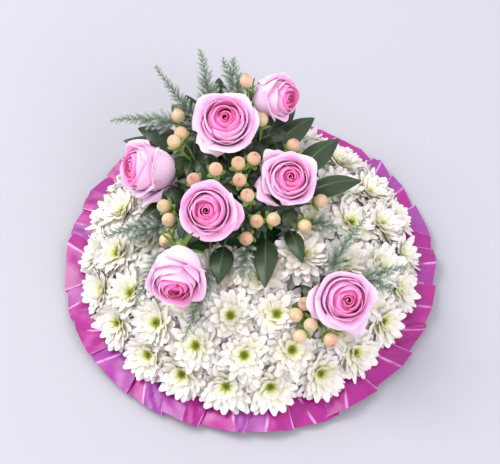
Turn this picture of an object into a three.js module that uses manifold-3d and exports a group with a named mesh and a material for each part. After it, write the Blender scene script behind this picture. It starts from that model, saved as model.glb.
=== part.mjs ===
// A round funeral posy, in millimetres, +Z up, origin at the centre of the underside.
//
// A florist builds it on a disc of wet foam bonded to a stiff backing. A satin ribbon in knife pleats
// is stuck round the foam's edge. White spray chrysanthemums are pushed in row by row until their
// petals cover the foam. A cluster of pink roses, berries, ruscus leaves and fern stands off centre,
// and one more rose with its own berries and fern stands across from it.
import * as THREE from "three";
import { mergeVertices } from "three/addons/utils/BufferGeometryUtils.js";
import Module from "manifold-3d";

const wasm = await Module();
wasm.setup();

// Driving dimensions
const BACKING = { radius: 111, thickness: 8, bevel: 1.5, segments: 32 };
const CLEAR = 0.4; // gap between pieces that rest on each other
const FOAM_STEPS = 24; // sides of the foam disc and of the flower beds that lie on it
const FOAM_TOP = [[0, 55.5], [32, 53.5], [62, 48.5], [88, 39], [106, 25], [110, 13]]; // radius, height
const RIBBON = {
  pleats: 26, inner: 112.6, outer: 151, innerHeight: 11, outerHeight: 4.4,
  rise: 2.2, fold: 1.6, thickness: 0.6, overlap: 0.46, wander: 0.2,
};
const BLOOM = { petals: 6, reach: 21.5, depth: 13, stem: 13, stemRadius: 1.4, ribbonTop: 11 };
const BED = { height: 2.6, margin: 0.1 };
const ROSE = { height: 40, neck: 7, straight: 9, stemRadius: 2.2, petal: 0.9 };
const BERRY = { radius: 5.4, length: 12, stemRadius: 1.3 };
const LEAF = { arch: 5, stemRadius: 1.1 };
const NEEDLE = { length: 11, spacing: 6.2, base: 1.7 };
const FERN = { stemRadius: 1, hold: 6 };
const FOOT_DEPTH = 16; // how far a stem stands in the foam
const FLOWER_TOP = 76; // stems pass over the middle chrysanthemums at this height

// The rows of chrysanthemums: where the flowers' discs lie, how far they lean out, how many there are
const ROWS = [
  { name: "rim", radius: 123, height: 26, lean: 54, count: 22, turn: 0, foam: 4, crest: 0.74 },
  { name: "shoulder", radius: 106, height: 47, lean: 35, count: 18, turn: 7, foam: 3, crest: 0.44 },
  { name: "upper", radius: 80, height: 60, lean: 20, count: 14, turn: 4, foam: 2, crest: 0.47 },
  { name: "crown", radius: 49, height: 67, lean: 10, count: 9, turn: 2, foam: 1, crest: 0.47 },
];
// No chrysanthemum stands where the rose cluster and the single rose go into the foam
const CLUSTER_GAP = { x: -12, y: 16, halfX: 54, halfY: 54 };
const ROSE_GAP = { x: 65, y: -62, halfX: 15, halfY: 15 };

// Rose heads: middle of the head, the way it faces, where its stem enters the foam
const ROSES = [
  { name: "rose_top", at: [-19, 62, 112], facing: [0, -0.3, 0.95], foot: [-14, 46], size: 1.04 },
  { name: "rose_back", at: [19, 99, 100], facing: [0.78, -0.42, 0.42], foot: [0, 54], size: 0.92 },
  { name: "rose_left", at: [-78, 37, 88], facing: [-0.85, -0.25, 0.45], foot: [-44, 30], size: 1 },
  { name: "rose_middle", at: [-31, -12, 102], facing: [-0.1, -0.55, 0.8], foot: [-26, 8], size: 1 },
  { name: "rose_right", at: [29, 20, 96], facing: [0.12, -0.42, 0.9], foot: [20, 28], size: 1 },
  { name: "rose_front", at: [-54, -64, 96], facing: [-0.04, -0.95, 0.22], foot: [-42, -6], size: 0.98 },
  { name: "rose_single", at: [69, -76, 81], facing: [0.16, -0.6, 0.76], foot: [62, -55], size: 1.06 },
];

// Berry sprigs: where the stem enters the foam, and the middle of each berry
const SPRIGS = [
  { name: "berries_left_back", foot: [-34, 40], berries: [[-57, 82, 98], [-54, 60, 104], [-59, 49, 108]] },
  { name: "berries_back", foot: [8, 48], berries: [[-3, 103, 116], [9, 73, 105]] },
  { name: "berries_centre", foot: [-5, 34], berries: [[3, 31, 110], [-9, 25, 112], [-8, 12, 108]] },
  { name: "berries_middle", foot: [-28, 28], berries: [[-26, 18, 114], [-43, 14, 106]] },
  {
    name: "berries_front", foot: [2, 8],
    berries: [[5, -15, 92], [18, -14, 93], [-3, -27, 86], [-2, 0, 105]],
  },
  { name: "berries_left", foot: [-46, 12], berries: [[-66, -1, 92], [-62, -13, 91], [-64, -26, 82]] },
  { name: "berries_right", foot: [26, 15], berries: [[55, 8, 86], [42, -13, 82]] },
  { name: "berries_right_back", foot: [22, 46], berries: [[34, 56, 94]] },
  {
    name: "berries_single", foot: [53, -68],
    berries: [[41, -76, 72], [34, -84, 69], [45, -92, 68], [37, -98, 61], [60, -101, 61]],
  },
];

// Ruscus leaves: where the stalk enters the foam, where the blade starts, its tip, its width
const LEAVES = [
  { foot: [-20, 52], from: [-26, 84, 80], tip: [-25, 121, 98], width: 25 },
  { foot: [-32, 47], from: [-54, 68, 76], tip: [-90, 82, 82], width: 24 },
  { foot: [-39, 42], from: [-60, 66, 73], tip: [-102, 76, 73], width: 21 },
  { foot: [-26, 50], from: [-40, 84, 76], tip: [-52, 108, 92], width: 19 },
  { foot: [10, 56], from: [17, 66, 76], tip: [52, 91, 84], width: 25 },
  { foot: [14, 51], from: [13, 80, 73], tip: [38, 118, 78], width: 24 },
  { foot: [30, 38], from: [38, 46, 72], tip: [72, 76, 76], width: 24 },
  { foot: [29, 20], from: [46, 26, 73], tip: [88, 34, 76], width: 22 },
  { foot: [10, -2], from: [12, -18, 73], tip: [11, -66, 78], width: 21 },
  { foot: [20, 4], from: [30, -10, 73], tip: [40, -44, 77], width: 15 },
  { foot: [-14, 0], from: [-20, -26, 74], tip: [-24, -62, 76], width: 20 },
  { foot: [-48, 20], from: [-57, 19, 70], tip: [-90, -4, 68], width: 20 },
  { foot: [-8, 56], from: [-19, 90, 72], tip: [-22, 128, 73], width: 22 },
  { foot: [-28, 36], from: [-40, 80, 71], tip: [-64, 112, 74], width: 24 },
];

// Fern sprays: where the stem enters the foam, and each frond's start, middle and tip
const FERNS = [
  { name: "fern_left_back", foot: [-28, 43], fronds: [[[-34, 70, 84], [-58, 98, 104], [-76, 120, 114]]] },
  { name: "fern_top_left", foot: [-22, 44], fronds: [[[-33, 90, 95], [-34, 108, 116], [-40, 131, 122]]] },
  {
    name: "fern_top", foot: [-4, 45],
    fronds: [
      [[-8, 92, 100], [-15, 106, 112], [-22, 124, 120]],
      [[-8, 92, 100], [-14, 110, 113], [-13, 123, 121]],
    ],
  },
  { name: "fern_left", foot: [-38, 34], fronds: [[[-58, 78, 92], [-86, 84, 96], [-112, 84, 89]]] },
  {
    name: "fern_left_front", foot: [-50, 4],
    fronds: [
      [[-66, -6, 73], [-92, -8, 76], [-114, -16, 70]],
      [[-66, -6, 73], [-82, -16, 77], [-93, -22, 76]],
    ],
  },
  { name: "fern_front_left", foot: [-48, -14], fronds: [[[-60, -28, 73], [-78, -50, 73], [-84, -72, 71]]] },
  { name: "fern_front", foot: [-30, -10], fronds: [[[-31, -44, 75], [-38, -78, 73], [-50, -104, 64]]] },
  { name: "fern_inner", foot: [-6, -8], fronds: [[[-4, -26, 75], [-4, -44, 80], [-6, -58, 78]]] },
  { name: "fern_right", foot: [26, 8], fronds: [[[48, -5, 75.2], [58, -8, 80], [68, -14, 80]]] },
  { name: "fern_single_left", foot: [60, -50], fronds: [[[60, -44, 68], [72, -24, 74], [90, -2, 80]]] },
  {
    name: "fern_single_right", foot: [67, -54],
    fronds: [
      [[84, -52, 68], [102, -46, 70], [120, -40, 68]],
      [[84, -52, 68], [98, -56, 70], [108, -62, 68]],
    ],
  },
];

const vec = (x, y, z) => new THREE.Vector3(x, y, z);
const radians = THREE.MathUtils.degToRad;

// A repeatable draw between 0 and 1
function draw(n) {
  const s = Math.sin(n * 12.9898 + 78.233) * 43758.5453;
  return s - Math.floor(s);
}
const between = (low, high, n) => low + (high - low) * draw(n);

// Colour and roughness
const LOOKS = {
  backing: ["#e9ebe4", 0.8],
  foam: ["#3f6b3c", 0.95],
  ribbon: ["#c832a0", 0.3],
  white: ["#f4f1e2", 0.7],
  rose: ["#eda3cd", 0.6],
  leaf: ["#2c4f26", 0.5],
  stem: ["#5c7f3b", 0.6],
  fern: ["#6f8a6c", 0.8],
  berry: ["#efb48f", 0.35],
};

function geometryFrom(points, faces) {
  const geometry = new THREE.BufferGeometry();
  geometry.setAttribute("position", new THREE.Float32BufferAttribute(points.flatMap((p) => p.toArray()), 3));
  geometry.setIndex(faces.flat());
  return geometry;
}

function solidFrom(geometry) {
  const bare = geometry.clone();
  bare.deleteAttribute("normal");
  bare.deleteAttribute("uv");
  const merged = mergeVertices(bare, 1e-4);
  return new wasm.Manifold(new wasm.Mesh({
    numProp: 3,
    vertProperties: new Float32Array(merged.attributes.position.array),
    triVerts: new Uint32Array(merged.index.array),
  }));
}

function geometryOf(solid) {
  const mesh = solid.getMesh();
  const positions = [];
  for (let i = 0; i < mesh.numVert; i++) {
    positions.push(...mesh.vertProperties.subarray(i * mesh.numProp, i * mesh.numProp + 3));
  }
  const geometry = new THREE.BufferGeometry();
  geometry.setAttribute("position", new THREE.Float32BufferAttribute(positions, 3));
  geometry.setIndex([...mesh.triVerts]);
  return geometry;
}

const joined = (solids) => solids.reduce((whole, piece) => whole.add(piece));

// A closed skin over rings of points. A ring may have a whole number of times as many points as the
// one before or after it, and the first and last ring may be a single point.
function loft(rings) {
  const faces = [];
  let low = 0;
  rings.slice(0, -1).forEach((ring, i) => {
    const high = low + ring.length;
    const few = Math.min(ring.length, rings[i + 1].length);
    const ratio = Math.max(ring.length, rings[i + 1].length) / few;
    const widening = rings[i + 1].length > ring.length;
    for (let j = 0; j < few; j++) {
      const k = (j + 1) % few;
      const [near, far] = widening ? [low, high] : [high, low];
      const face = (p, q, r) => faces.push(widening ? [p, r, q] : [p, q, r]);
      for (let m = 0; m < ratio - 1; m++) face(near + j, far + j * ratio + m, far + j * ratio + m + 1);
      const last = far + j * ratio + ratio - 1;
      if (few === 1) {
        face(near, last, far);
      } else {
        face(near + k, last, far + k * ratio);
        face(near + j, last, near + k);
      }
    }
    low = high;
  });
  for (let j = 1; j < rings[0].length - 1; j++) faces.push([0, j + 1, j]);
  for (let j = 1; j < rings.at(-1).length - 1; j++) faces.push([low, low + j, low + j + 1]);
  return geometryFrom(rings.flat(), faces);
}

// The level direction across a path's heading
function acrossOf(path) {
  const heading = path.at(-1).clone().sub(path[0]).setZ(0);
  return heading.length() > 1 ? vec(-heading.y, heading.x, 0).normalize() : vec(1, 0, 0);
}

// Sections set square to a path. Each shape lists [across, up] points anticlockwise, or null for a tip.
function alongPath(path, shapes, across = acrossOf(path)) {
  return loft(path.map((centre, i) => {
    if (!shapes[i]) return [centre.clone()];
    const ahead = path[Math.min(i + 1, path.length - 1)];
    const behind = path[Math.max(i - 1, 0)];
    const forward = ahead.clone().sub(behind).normalize();
    const side = across.clone().addScaledVector(forward, -across.dot(forward)).normalize();
    const up = forward.clone().cross(side);
    return shapes[i].map(([x, y]) => centre.clone().addScaledVector(side, x).addScaledVector(up, y));
  }));
}

const round = (radius, sides) => Array.from({ length: sides }, (_, i) => {
  const a = (i / sides) * 2 * Math.PI;
  return [radius * Math.cos(a), radius * Math.sin(a)];
});

// The foam's height at a distance from the middle
function foamHeight(r) {
  const i = FOAM_TOP.findIndex(([radius]) => radius >= r);
  const [[r0, z0], [r1, z1]] = [FOAM_TOP[Math.max(i - 1, 0)], FOAM_TOP[Math.max(i, 1)]];
  return z0 + ((z1 - z0) * (r - r0)) / (r1 - r0);
}

// A stem's route: its cut end in the foam, where it comes out, and a rise that lifts it over the flowers
// before it runs on to the start of what it carries
function routeTo(start, [x, y]) {
  const top = foamHeight(Math.hypot(x, y));
  const out = vec(x, y, top + 1.5);
  const rise = out.clone().lerp(start, 0.2).setZ(Math.min(start.z - 2, FLOWER_TOP));
  return [vec(x, y, top - FOOT_DEPTH), out, rise];
}

const group = new THREE.Group();
group.name = "funeral_posy";
const holes = []; // what the stems need cut from the foam

function addMesh(name, geometry, [color, roughness]) {
  const mesh = new THREE.Mesh(geometry, new THREE.MeshStandardMaterial({ color, roughness, metalness: 0 }));
  mesh.name = name;
  group.add(mesh);
}

// A plain hole round the pointed foot of a stem, with as many sides as the stem
function pierce(path, radius, sides) {
  const [end, out] = path;
  const along = out.clone().sub(end).normalize();
  const ring = round(1.1 * (radius + CLEAR / Math.cos(Math.PI / sides)), sides);
  const ends = [end.clone().addScaledVector(along, -3), out.clone().addScaledVector(along, 3)];
  holes.push(solidFrom(alongPath(ends, [null, ring], acrossOf(path))));
}

// Backing: a stiff disc that the foam is bonded to
{
  const { radius, thickness, bevel, segments } = BACKING;
  const profile = [[0, 0], [radius - bevel, 0], [radius, bevel], [radius, thickness], [0, thickness]];
  const disc = new THREE.LatheGeometry(profile.map(([r, z]) => new THREE.Vector2(r, z)), segments);
  disc.rotateX(Math.PI / 2);
  addMesh("backing_disc", geometryOf(solidFrom(disc)), LOOKS.backing);
}

// Ribbon: one long strip in knife pleats, laid in a ring against the foam's edge
function ribbonGeometry() {
  const { pleats, inner, outer, innerHeight, outerHeight, rise, fold, thickness, overlap, wander } = RIBBON;
  const pitch = (2 * Math.PI) / pleats;
  const starts = Array.from({ length: pleats }, (_, k) => (k + wander * (draw(k + 5) - 0.5)) * pitch);
  const half = thickness / 2;
  const points = [];
  const corner = (angle, height, out, lift) => {
    [[inner, innerHeight], [outer, outerHeight]].forEach(([radius, base]) => {
      [1, -1].forEach((face) => {
        const a = angle + (face * out * half) / radius;
        points.push(vec(radius * Math.cos(a), radius * Math.sin(a), base + height + face * lift * half));
      });
    });
  };
  for (let k = 0; k < pleats; k++) {
    const next = k + 1 < pleats ? starts[k + 1] : starts[0] + 2 * Math.PI;
    const front = next + overlap * pitch;
    corner(starts[k], -rise, 1, 1);
    corner(front, rise, 1, 1);
    corner(front, rise - fold, 1, -1);
    corner(next, -rise + fold, 1, -1);
  }
  const faces = [];
  const count = points.length / 4;
  for (let i = 0; i < count; i++) {
    const [a, b] = [i * 4, ((i + 1) % count) * 4];
    const [innerUp, innerDown, outerUp, outerDown] = [0, 1, 2, 3];
    const quad = (p, q, r, s) => faces.push([p, q, r], [p, r, s]);
    quad(a + innerUp, a + outerUp, b + outerUp, b + innerUp);
    quad(a + innerDown, b + innerDown, b + outerDown, a + outerDown);
    quad(a + outerUp, a + outerDown, b + outerDown, b + outerUp);
    quad(a + innerUp, b + innerUp, b + innerDown, a + innerDown);
  }
  return geometryFrom(points, faces);
}
addMesh("ribbon_edging", geometryOf(solidFrom(ribbonGeometry())), LOOKS.ribbon);

// Chrysanthemums
function insideGap(x, y, gap) {
  return Math.hypot((x - gap.x) / gap.halfX, (y - gap.y) / gap.halfY) < 1;
}

const blooms = ROWS.flatMap((row, r) => Array.from({ length: row.count }, (_, i) => {
  const seed = 100 * r + i;
  const angle = radians(row.turn + (360 / row.count) * (i + between(-0.1, 0.1, seed)));
  const lean = radians(row.lean + between(-3, 3, seed + 0.3));
  const axis = vec(Math.sin(lean) * Math.cos(angle), Math.sin(lean) * Math.sin(angle), Math.cos(lean));
  const disc = vec(row.radius * Math.cos(angle), row.radius * Math.sin(angle), row.height);
  return { row: r, seed, axis, disc, base: disc.clone().addScaledVector(axis, -BLOOM.depth) };
})).filter(({ disc }) => !insideGap(disc.x, disc.y, CLUSTER_GAP) && !insideGap(disc.x, disc.y, ROSE_GAP));

// The walls of a bloom's own space: halfway to each neighbour, and the ribbon below
function wallsOf(bloom) {
  const walls = blooms.filter((other) => other !== bloom && other.disc.distanceTo(bloom.disc) < 55)
    .map((other) => {
      const mean = bloom.axis.clone().add(other.axis).normalize();
      const away = other.disc.clone().sub(bloom.disc);
      away.addScaledVector(mean, -away.dot(mean)).normalize();
      return { point: bloom.disc.clone().lerp(other.disc, 0.5).addScaledVector(away, -0.2), away };
    });
  walls.push({ point: vec(0, 0, BLOOM.ribbonTop), away: vec(0, 0, -1) });
  return walls;
}

// Turns a flower's own frame into the posy's: along its axis, and round it by its seed
function ringOf(bloom, count, make) {
  const turn = new THREE.Quaternion().setFromUnitVectors(vec(0, 0, 1), bloom.axis);
  return Array.from({ length: count }, (_, i) => {
    const [radius, height] = make(i);
    const a = (i / count) * 2 * Math.PI + bloom.seed;
    return vec(radius * Math.cos(a), radius * Math.sin(a), height).applyQuaternion(turn).add(bloom.base);
  });
}

// Two layers of petals round a disc, on a pointed stem
function bloomGeometry(bloom) {
  const { petals, reach, stem, stemRadius } = BLOOM;
  const { seed } = bloom;
  const walls = wallsOf(bloom);
  const outside = (p) => walls.some((w) => p.clone().sub(w.point).dot(w.away) > 0);
  const fitted = (make) => {
    const full = ringOf(bloom, 2 * petals, make);
    const axisPoint = (height) => bloom.base.clone().addScaledVector(bloom.axis, height);
    return full.map((p, i) => {
      const middle = axisPoint(make(i)[1]);
      let share = 1;
      while (share > 0.25 && outside(middle.clone().lerp(p, share))) share -= 0.02;
      return middle.lerp(p, share);
    });
  };
  const lower = fitted((i) => (i % 2
    ? [0.8 * reach, 9.5]
    : [reach * between(0.92, 1.06, seed + i), between(11.5, 13.5, seed - i)]));
  const upper = fitted((i) => (i % 2
    ? [reach * between(0.6, 0.7, seed + 2 * i), between(15, 17, seed + 3 * i)]
    : [0.42 * reach, 13]));
  return loft([
    ringOf(bloom, 1, () => [0, -stem]),
    ringOf(bloom, 3, () => [stemRadius, 0]),
    lower,
    ringOf(bloom, petals, () => [6.5, 9]),
    upper,
    ringOf(bloom, petals, () => [4, 11.6]),
    ringOf(bloom, 1, () => [0, 13]),
  ]);
}

// A low ridge of packed calyxes under a row, which holds its flowers together. It stops at the cluster.
function bedGeometry(row) {
  const [[r0, z0], [r1, z1]] = [FOAM_TOP[row.foam], FOAM_TOP[row.foam + 1]];
  const length = Math.hypot(r1 - r0, z1 - z0);
  const [alongR, alongZ] = [(r1 - r0) / length, (z1 - z0) / length];
  const onFoam = (share, lift) => [
    r0 + alongR * share * length - alongZ * lift,
    z0 + alongZ * share * length + alongR * lift,
  ];
  const profile = [onFoam(1 - BED.margin, CLEAR), onFoam(BED.margin, CLEAR), onFoam(row.crest, BED.height)];
  const middle = onFoam(0.5, 0)[0];
  const step = (2 * Math.PI) / FOAM_STEPS;
  const kept = (i) => {
    const a = (i + 0.5) * step;
    return !insideGap(middle * Math.cos(a), middle * Math.sin(a), CLUSTER_GAP);
  };
  const steps = Array.from({ length: FOAM_STEPS }, (_, i) => i);
  const whole = steps.every(kept);
  const first = whole ? 0 : steps.find((i) => kept(i) && !kept((i + FOAM_STEPS - 1) % FOAM_STEPS));
  const last = whole ? FOAM_STEPS : first + steps.filter(kept).length;
  const rings = [];
  for (let i = first; i <= last; i++) {
    rings.push(profile.map(([r, z]) => vec(r * Math.cos(i * step), r * Math.sin(i * step), z)));
  }
  if (!whole) return loft(rings);
  const count = FOAM_STEPS;
  const faces = [];
  for (let i = 0; i < count; i++) {
    for (let j = 0; j < 3; j++) {
      const [a, b] = [i * 3, ((i + 1) % count) * 3];
      const k = (j + 1) % 3;
      faces.push([a + j, a + k, b + j], [a + k, b + k, b + j]);
    }
  }
  return geometryFrom(rings.slice(0, count).flat(), faces);
}

// The space for the single rose's stem and its sprays, clear of the beds
function singleRoseSpace() {
  const [x, y] = ROSES.at(-1).foot;
  const ring = round(11, 6);
  return solidFrom(alongPath([vec(x, y, 0), vec(x, y, FLOWER_TOP)], [ring, ring]));
}

ROWS.forEach((row, r) => {
  const flowers = blooms.filter((bloom) => bloom.row === r);
  const { stem, stemRadius } = BLOOM;
  flowers.forEach((bloom) => {
    const hole = [ringOf(bloom, 1, () => [0, -stem - 3]), ringOf(bloom, 3, () => [stemRadius + 1.2, 2])];
    holes.push(solidFrom(loft(hole)));
  });
  const bed = solidFrom(bedGeometry(row)).subtract(singleRoseSpace());
  const heads = flowers.map((bloom) => solidFrom(bloomGeometry(bloom)));
  addMesh(`chrysanthemums_${row.name}`, geometryOf(joined([bed, ...heads])), LOOKS.white);
});

// Roses
// One petal: rows of [radius, height] round the head's axis, spread over an arc, with its own thickness
function rosePetal({ turn, spread, rows, twist, drop, columns }) {
  const slope = (i) => {
    const [a, b] = [rows[Math.max(i - 1, 0)], rows[Math.min(i + 1, rows.length - 1)]];
    return vec(b[0] - a[0], 0, b[1] - a[1]).normalize();
  };
  const outside = [];
  const inside = [];
  rows.forEach(([radius, height], i) => {
    const tangent = slope(i);
    const share = i / (rows.length - 1);
    for (let c = 0; c <= columns; c++) {
      const u = (2 * c) / columns - 1;
      const a = turn + u * spread * (0.55 + 0.45 * share);
      const r = radius + twist * share * u;
      const z = height - drop * share * u * u;
      const at = (rr, zz) => vec(rr * Math.cos(a), rr * Math.sin(a), zz);
      outside.push(at(r, z));
      inside.push(at(r - tangent.z * ROSE.petal, z + tangent.x * ROSE.petal));
    }
  });
  const width = columns + 1;
  const shift = outside.length;
  const faces = [];
  const quad = (p, q, r, s) => faces.push([p, q, r], [p, r, s]);
  for (let i = 0; i < rows.length - 1; i++) {
    for (let c = 0; c < columns; c++) {
      const [a, b, d, e] = [i * width + c, i * width + c + 1, (i + 1) * width + c + 1, (i + 1) * width + c];
      quad(a, b, d, e);
      quad(shift + a, shift + e, shift + d, shift + b);
    }
    const [left, leftUp] = [i * width, (i + 1) * width];
    const [right, rightUp] = [left + columns, leftUp + columns];
    quad(left, leftUp, shift + leftUp, shift + left);
    quad(right, shift + right, shift + rightUp, rightUp);
  }
  const top = (rows.length - 1) * width;
  for (let c = 0; c < columns; c++) {
    quad(c, shift + c, shift + c + 1, c + 1);
    quad(top + c, top + c + 1, shift + top + c + 1, shift + top + c);
  }
  return geometryFrom([...outside, ...inside], faces);
}

// Each layer's petals start inside the one before and end outside the next, as in a spiral
const ROSE_LAYERS = [
  { petals: 3, rows: [[6, 4], [14, 17], [12.5, 38.5]], spread: 70, twist: 2.2, drop: 3, columns: 3 },
  { petals: 5, rows: [[5, 2.5], [20.5, 14], [22.5, 35]], spread: 43, twist: 1.8, drop: 5, columns: 2 },
];

function roseHead(seed) {
  const ring = (radius, height) => round(radius, 6).map(([x, y]) => vec(x, y, height));
  const heart = loft([ring(6.5, 0), ring(9.2, 7), ring(7.5, 24), ring(5.5, 39), [vec(0, 0, 33)]]);
  const petals = ROSE_LAYERS.flatMap((layer, n) => Array.from({ length: layer.petals }, (_, i) => rosePetal({
    ...layer,
    turn: (i / layer.petals) * 2 * Math.PI + seed + 2.1 * n,
    spread: radians(layer.spread),
    rows: layer.rows.map(([r, z], k) => [r, k ? z + between(-1, 1, seed + 10 * n + i) : z]),
  })));
  return joined([heart, ...petals].map(solidFrom));
}

// A head's place: its base lies behind the middle, along the way it faces
function roseFrame({ at, facing, size }) {
  const axis = vec(...facing).normalize();
  const base = vec(...at).addScaledVector(axis, -0.5 * ROSE.height * size);
  const matrix = new THREE.Matrix4().compose(base,
    new THREE.Quaternion().setFromUnitVectors(vec(0, 0, 1), axis), vec(size, size, size));
  return { axis, base, matrix };
}

function placed(geometry, matrix) {
  return geometry.clone().applyMatrix4(matrix);
}

// The hip, its five sepals and the stem are one green piece
function calyxGeometry() {
  const ring = (count, make) => Array.from({ length: count }, (_, i) => {
    const [radius, height] = make(i);
    const a = (i / count) * 2 * Math.PI;
    return vec(radius * Math.cos(a), radius * Math.sin(a), height);
  });
  return loft([
    ring(5, () => [2, -9.5]),
    ring(5, () => [5, -6]),
    ring(10, (i) => (i % 2 ? [4.6, -2.6] : [12.5, -5.5])),
    ring(5, () => [4.6, -CLEAR]),
  ]);
}

ROSES.forEach((rose, i) => {
  const { axis, base, matrix } = roseFrame(rose);
  addMesh(rose.name, placed(geometryOf(roseHead(1.7 * i)), matrix), LOOKS.rose);
  const back = base.clone().addScaledVector(axis, -ROSE.neck * rose.size);
  const bend = back.clone().addScaledVector(axis, -ROSE.straight);
  const ring = round(ROSE.stemRadius, 5);
  const route = routeTo(bend, rose.foot).filter((p) => p.distanceTo(bend) > ROSE.straight / 2);
  const path = [...route, bend.lerp(route.at(-1), 0.25), back];
  const stem = alongPath(path, [null, ...path.slice(1).map(() => ring)]);
  pierce(path, ROSE.stemRadius, 5);
  const green = joined([placed(calyxGeometry(), matrix), stem].map(solidFrom));
  addMesh(`${rose.name}_stem`, geometryOf(green), LOOKS.stem);
});

// Berries: each widens from its branch into a three-pointed calyx, and the fruit sits in that
function berryGeometry(middle, from) {
  const axis = middle.clone().sub(from).normalize().lerp(vec(0, -0.3, 0.9), 0.35).normalize();
  const turn = new THREE.Quaternion().setFromUnitVectors(vec(0, 0, 1), axis);
  const { radius, length } = BERRY;
  const ring = (count, make) => Array.from({ length: count }, (_, i) => {
    const [across, along] = make(i);
    const a = (i / count) * 2 * Math.PI;
    return vec(across * radius * Math.cos(a), across * radius * Math.sin(a), along * length)
      .applyQuaternion(turn).add(middle);
  });
  const along = middle.clone().sub(from).normalize();
  return loft([
    ring(3, () => [0.16, 0]).map((p) => p.sub(middle).add(from).addScaledVector(along, -2)),
    ring(3, () => [0.16, -0.62]),
    ring(6, (i) => (i % 2 ? [0.4, -0.5] : [1.25, -0.44])),
    ring(6, () => [0.82, -0.3]),
    ring(6, () => [1, 0.12]),
    ring(1, () => [0, 0.5]),
  ]);
}

SPRIGS.forEach(({ name, foot, berries }) => {
  const middle = berries.reduce((sum, b) => sum.add(vec(...b)), vec(0, 0, 0)).divideScalar(berries.length);
  const path = routeTo(middle, foot);
  const fork = path[2].lerp(path[1], 0.15);
  const ring = round(BERRY.stemRadius, 3);
  const stem = alongPath(path, [null, ring, ring]);
  const fruits = berries.map((b) => berryGeometry(vec(...b), fork));
  pierce(path, BERRY.stemRadius, 3);
  addMesh(name, geometryOf(joined([stem, ...fruits].map(solidFrom))), LOOKS.berry);
});

// Ruscus leaves: a stalk that opens into an arched blade with a raised rib
function leafGeometry({ foot, from, tip, width }) {
  const start = vec(...from);
  const point = vec(...tip);
  const arch = (t) => start.clone().lerp(point, t).add(vec(0, 0, LEAF.arch * Math.sin(Math.PI * t)));
  const section = (w) => [[w, -0.16 * w - 0.1], [0, 0.5], [-w, -0.16 * w - 0.1], [0, -0.6]];
  const stalk = round(LEAF.stemRadius, 4);
  const blade = [section(0.36 * width), section(0.5 * width), section(0.3 * width), null];
  const path = [...routeTo(start, foot), start, arch(0.25), arch(0.5), arch(0.78), point];
  pierce(path, LEAF.stemRadius, 4);
  return alongPath(path, [null, stalk, stalk, stalk, ...blade]);
}

LEAVES.forEach((leaf, i) => addMesh(`ruscus_leaf_${i + 1}`, leafGeometry(leaf), LOOKS.leaf));

// Fern: a slim three-sided stem whose sides rise into needles, in whorls that turn and shorten to the tip
function frondGeometry([start, middle, tip], seed) {
  const curve = new THREE.QuadraticBezierCurve3(vec(...start), vec(...middle), vec(...tip));
  const length = curve.getLength();
  const whorls = Math.round((0.9 * length) / NEEDLE.spacing);
  const points = [];
  const faces = [];
  const ring = (t, turn) => {
    const ahead = curve.getTangent(t);
    const side = vec(0, 0, 1).cross(ahead).normalize();
    const up = ahead.clone().cross(side);
    const r = 0.95 - 0.35 * t;
    for (let j = 0; j < 3; j++) {
      const a = turn + (j / 3) * 2 * Math.PI;
      const spoke = side.clone().multiplyScalar(r * Math.cos(a)).addScaledVector(up, r * Math.sin(a));
      points.push(curve.getPoint(t).add(spoke));
    }
  };
  for (let w = 0; w < whorls; w++) {
    const t = 0.06 + (0.88 * w) / whorls;
    const turn = seed + 0.35 * w;
    const low = points.length;
    ring(t, turn);
    ring(t + NEEDLE.base / length, turn);
    const ahead = curve.getTangent(t);
    for (let j = 0; j < 3; j++) {
      const k = (j + 1) % 3;
      const corners = [low + j, low + k, low + 3 + k, low + 3 + j];
      const root = corners.reduce((sum, c) => sum.add(points[c]), vec(0, 0, 0)).divideScalar(4);
      const out = root.clone().sub(curve.getPoint(t + (0.5 * NEEDLE.base) / length)).normalize();
      const reach = NEEDLE.length * (1 - 0.7 * t) * between(0.85, 1.1, seed + 3 * w + j);
      corners.forEach((c, i) => faces.push([c, corners[(i + 1) % 4], low + 6 + j]));
      points.push(root.addScaledVector(out, 0.72 * reach).addScaledVector(ahead, 0.7 * reach));
    }
    const before = low - 6;
    for (let j = 0; w > 0 && j < 3; j++) {
      const k = (j + 1) % 3;
      faces.push([before + j, before + k, low + j], [before + k, low + k, low + j]);
    }
  }
  const last = points.length - 6;
  points.push(curve.getPoint(1));
  for (let j = 0; j < 3; j++) faces.push([last + j, last + ((j + 1) % 3), points.length - 1]);
  faces.push([0, 2, 1]);
  return geometryFrom(points, faces);
}

FERNS.forEach(({ name, foot, fronds }, n) => {
  const ring = round(FERN.stemRadius, 3);
  const start = vec(...fronds[0][0]);
  const ahead = vec(...fronds[0][1]).sub(start).normalize();
  const path = [...routeTo(start, foot), start, start.clone().addScaledVector(ahead, FERN.hold)];
  const stem = alongPath(path, [null, ring, ring, ring, null]);
  pierce(path, FERN.stemRadius, 3);
  const parts = [stem, ...fronds.map((frond, i) => frondGeometry(frond, n + 3 * i))];
  addMesh(name, geometryOf(joined(parts.map(solidFrom))), LOOKS.fern);
});

// Foam: a disc with a rounded top, pierced where each stem stands
{
  const underside = BACKING.thickness + CLEAR;
  const profile = [[0, underside], [FOAM_TOP.at(-1)[0], underside], ...FOAM_TOP.toReversed()];
  const disc = new THREE.LatheGeometry(profile.map(([r, z]) => new THREE.Vector2(r, z)), FOAM_STEPS);
  disc.rotateX(Math.PI / 2);
  const foam = holes.reduce((rest, hole) => rest.subtract(hole), solidFrom(disc));
  addMesh("foam_disc", geometryOf(foam), LOOKS.foam);
}

export default group;
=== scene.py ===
# %% [markdown]
# A round funeral posy, dressed for its picture.
#
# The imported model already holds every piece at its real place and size. This lesson loads it, then
# swaps the faceted flowers, leaves, fern, berries and ribbon for finer ones that keep their form, and
# gives every surface a procedural material. All lengths below are in millimetres and are turned into
# metres as the last step of each mesh, so that the numbers stay easy to read.

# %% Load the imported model
import math

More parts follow.
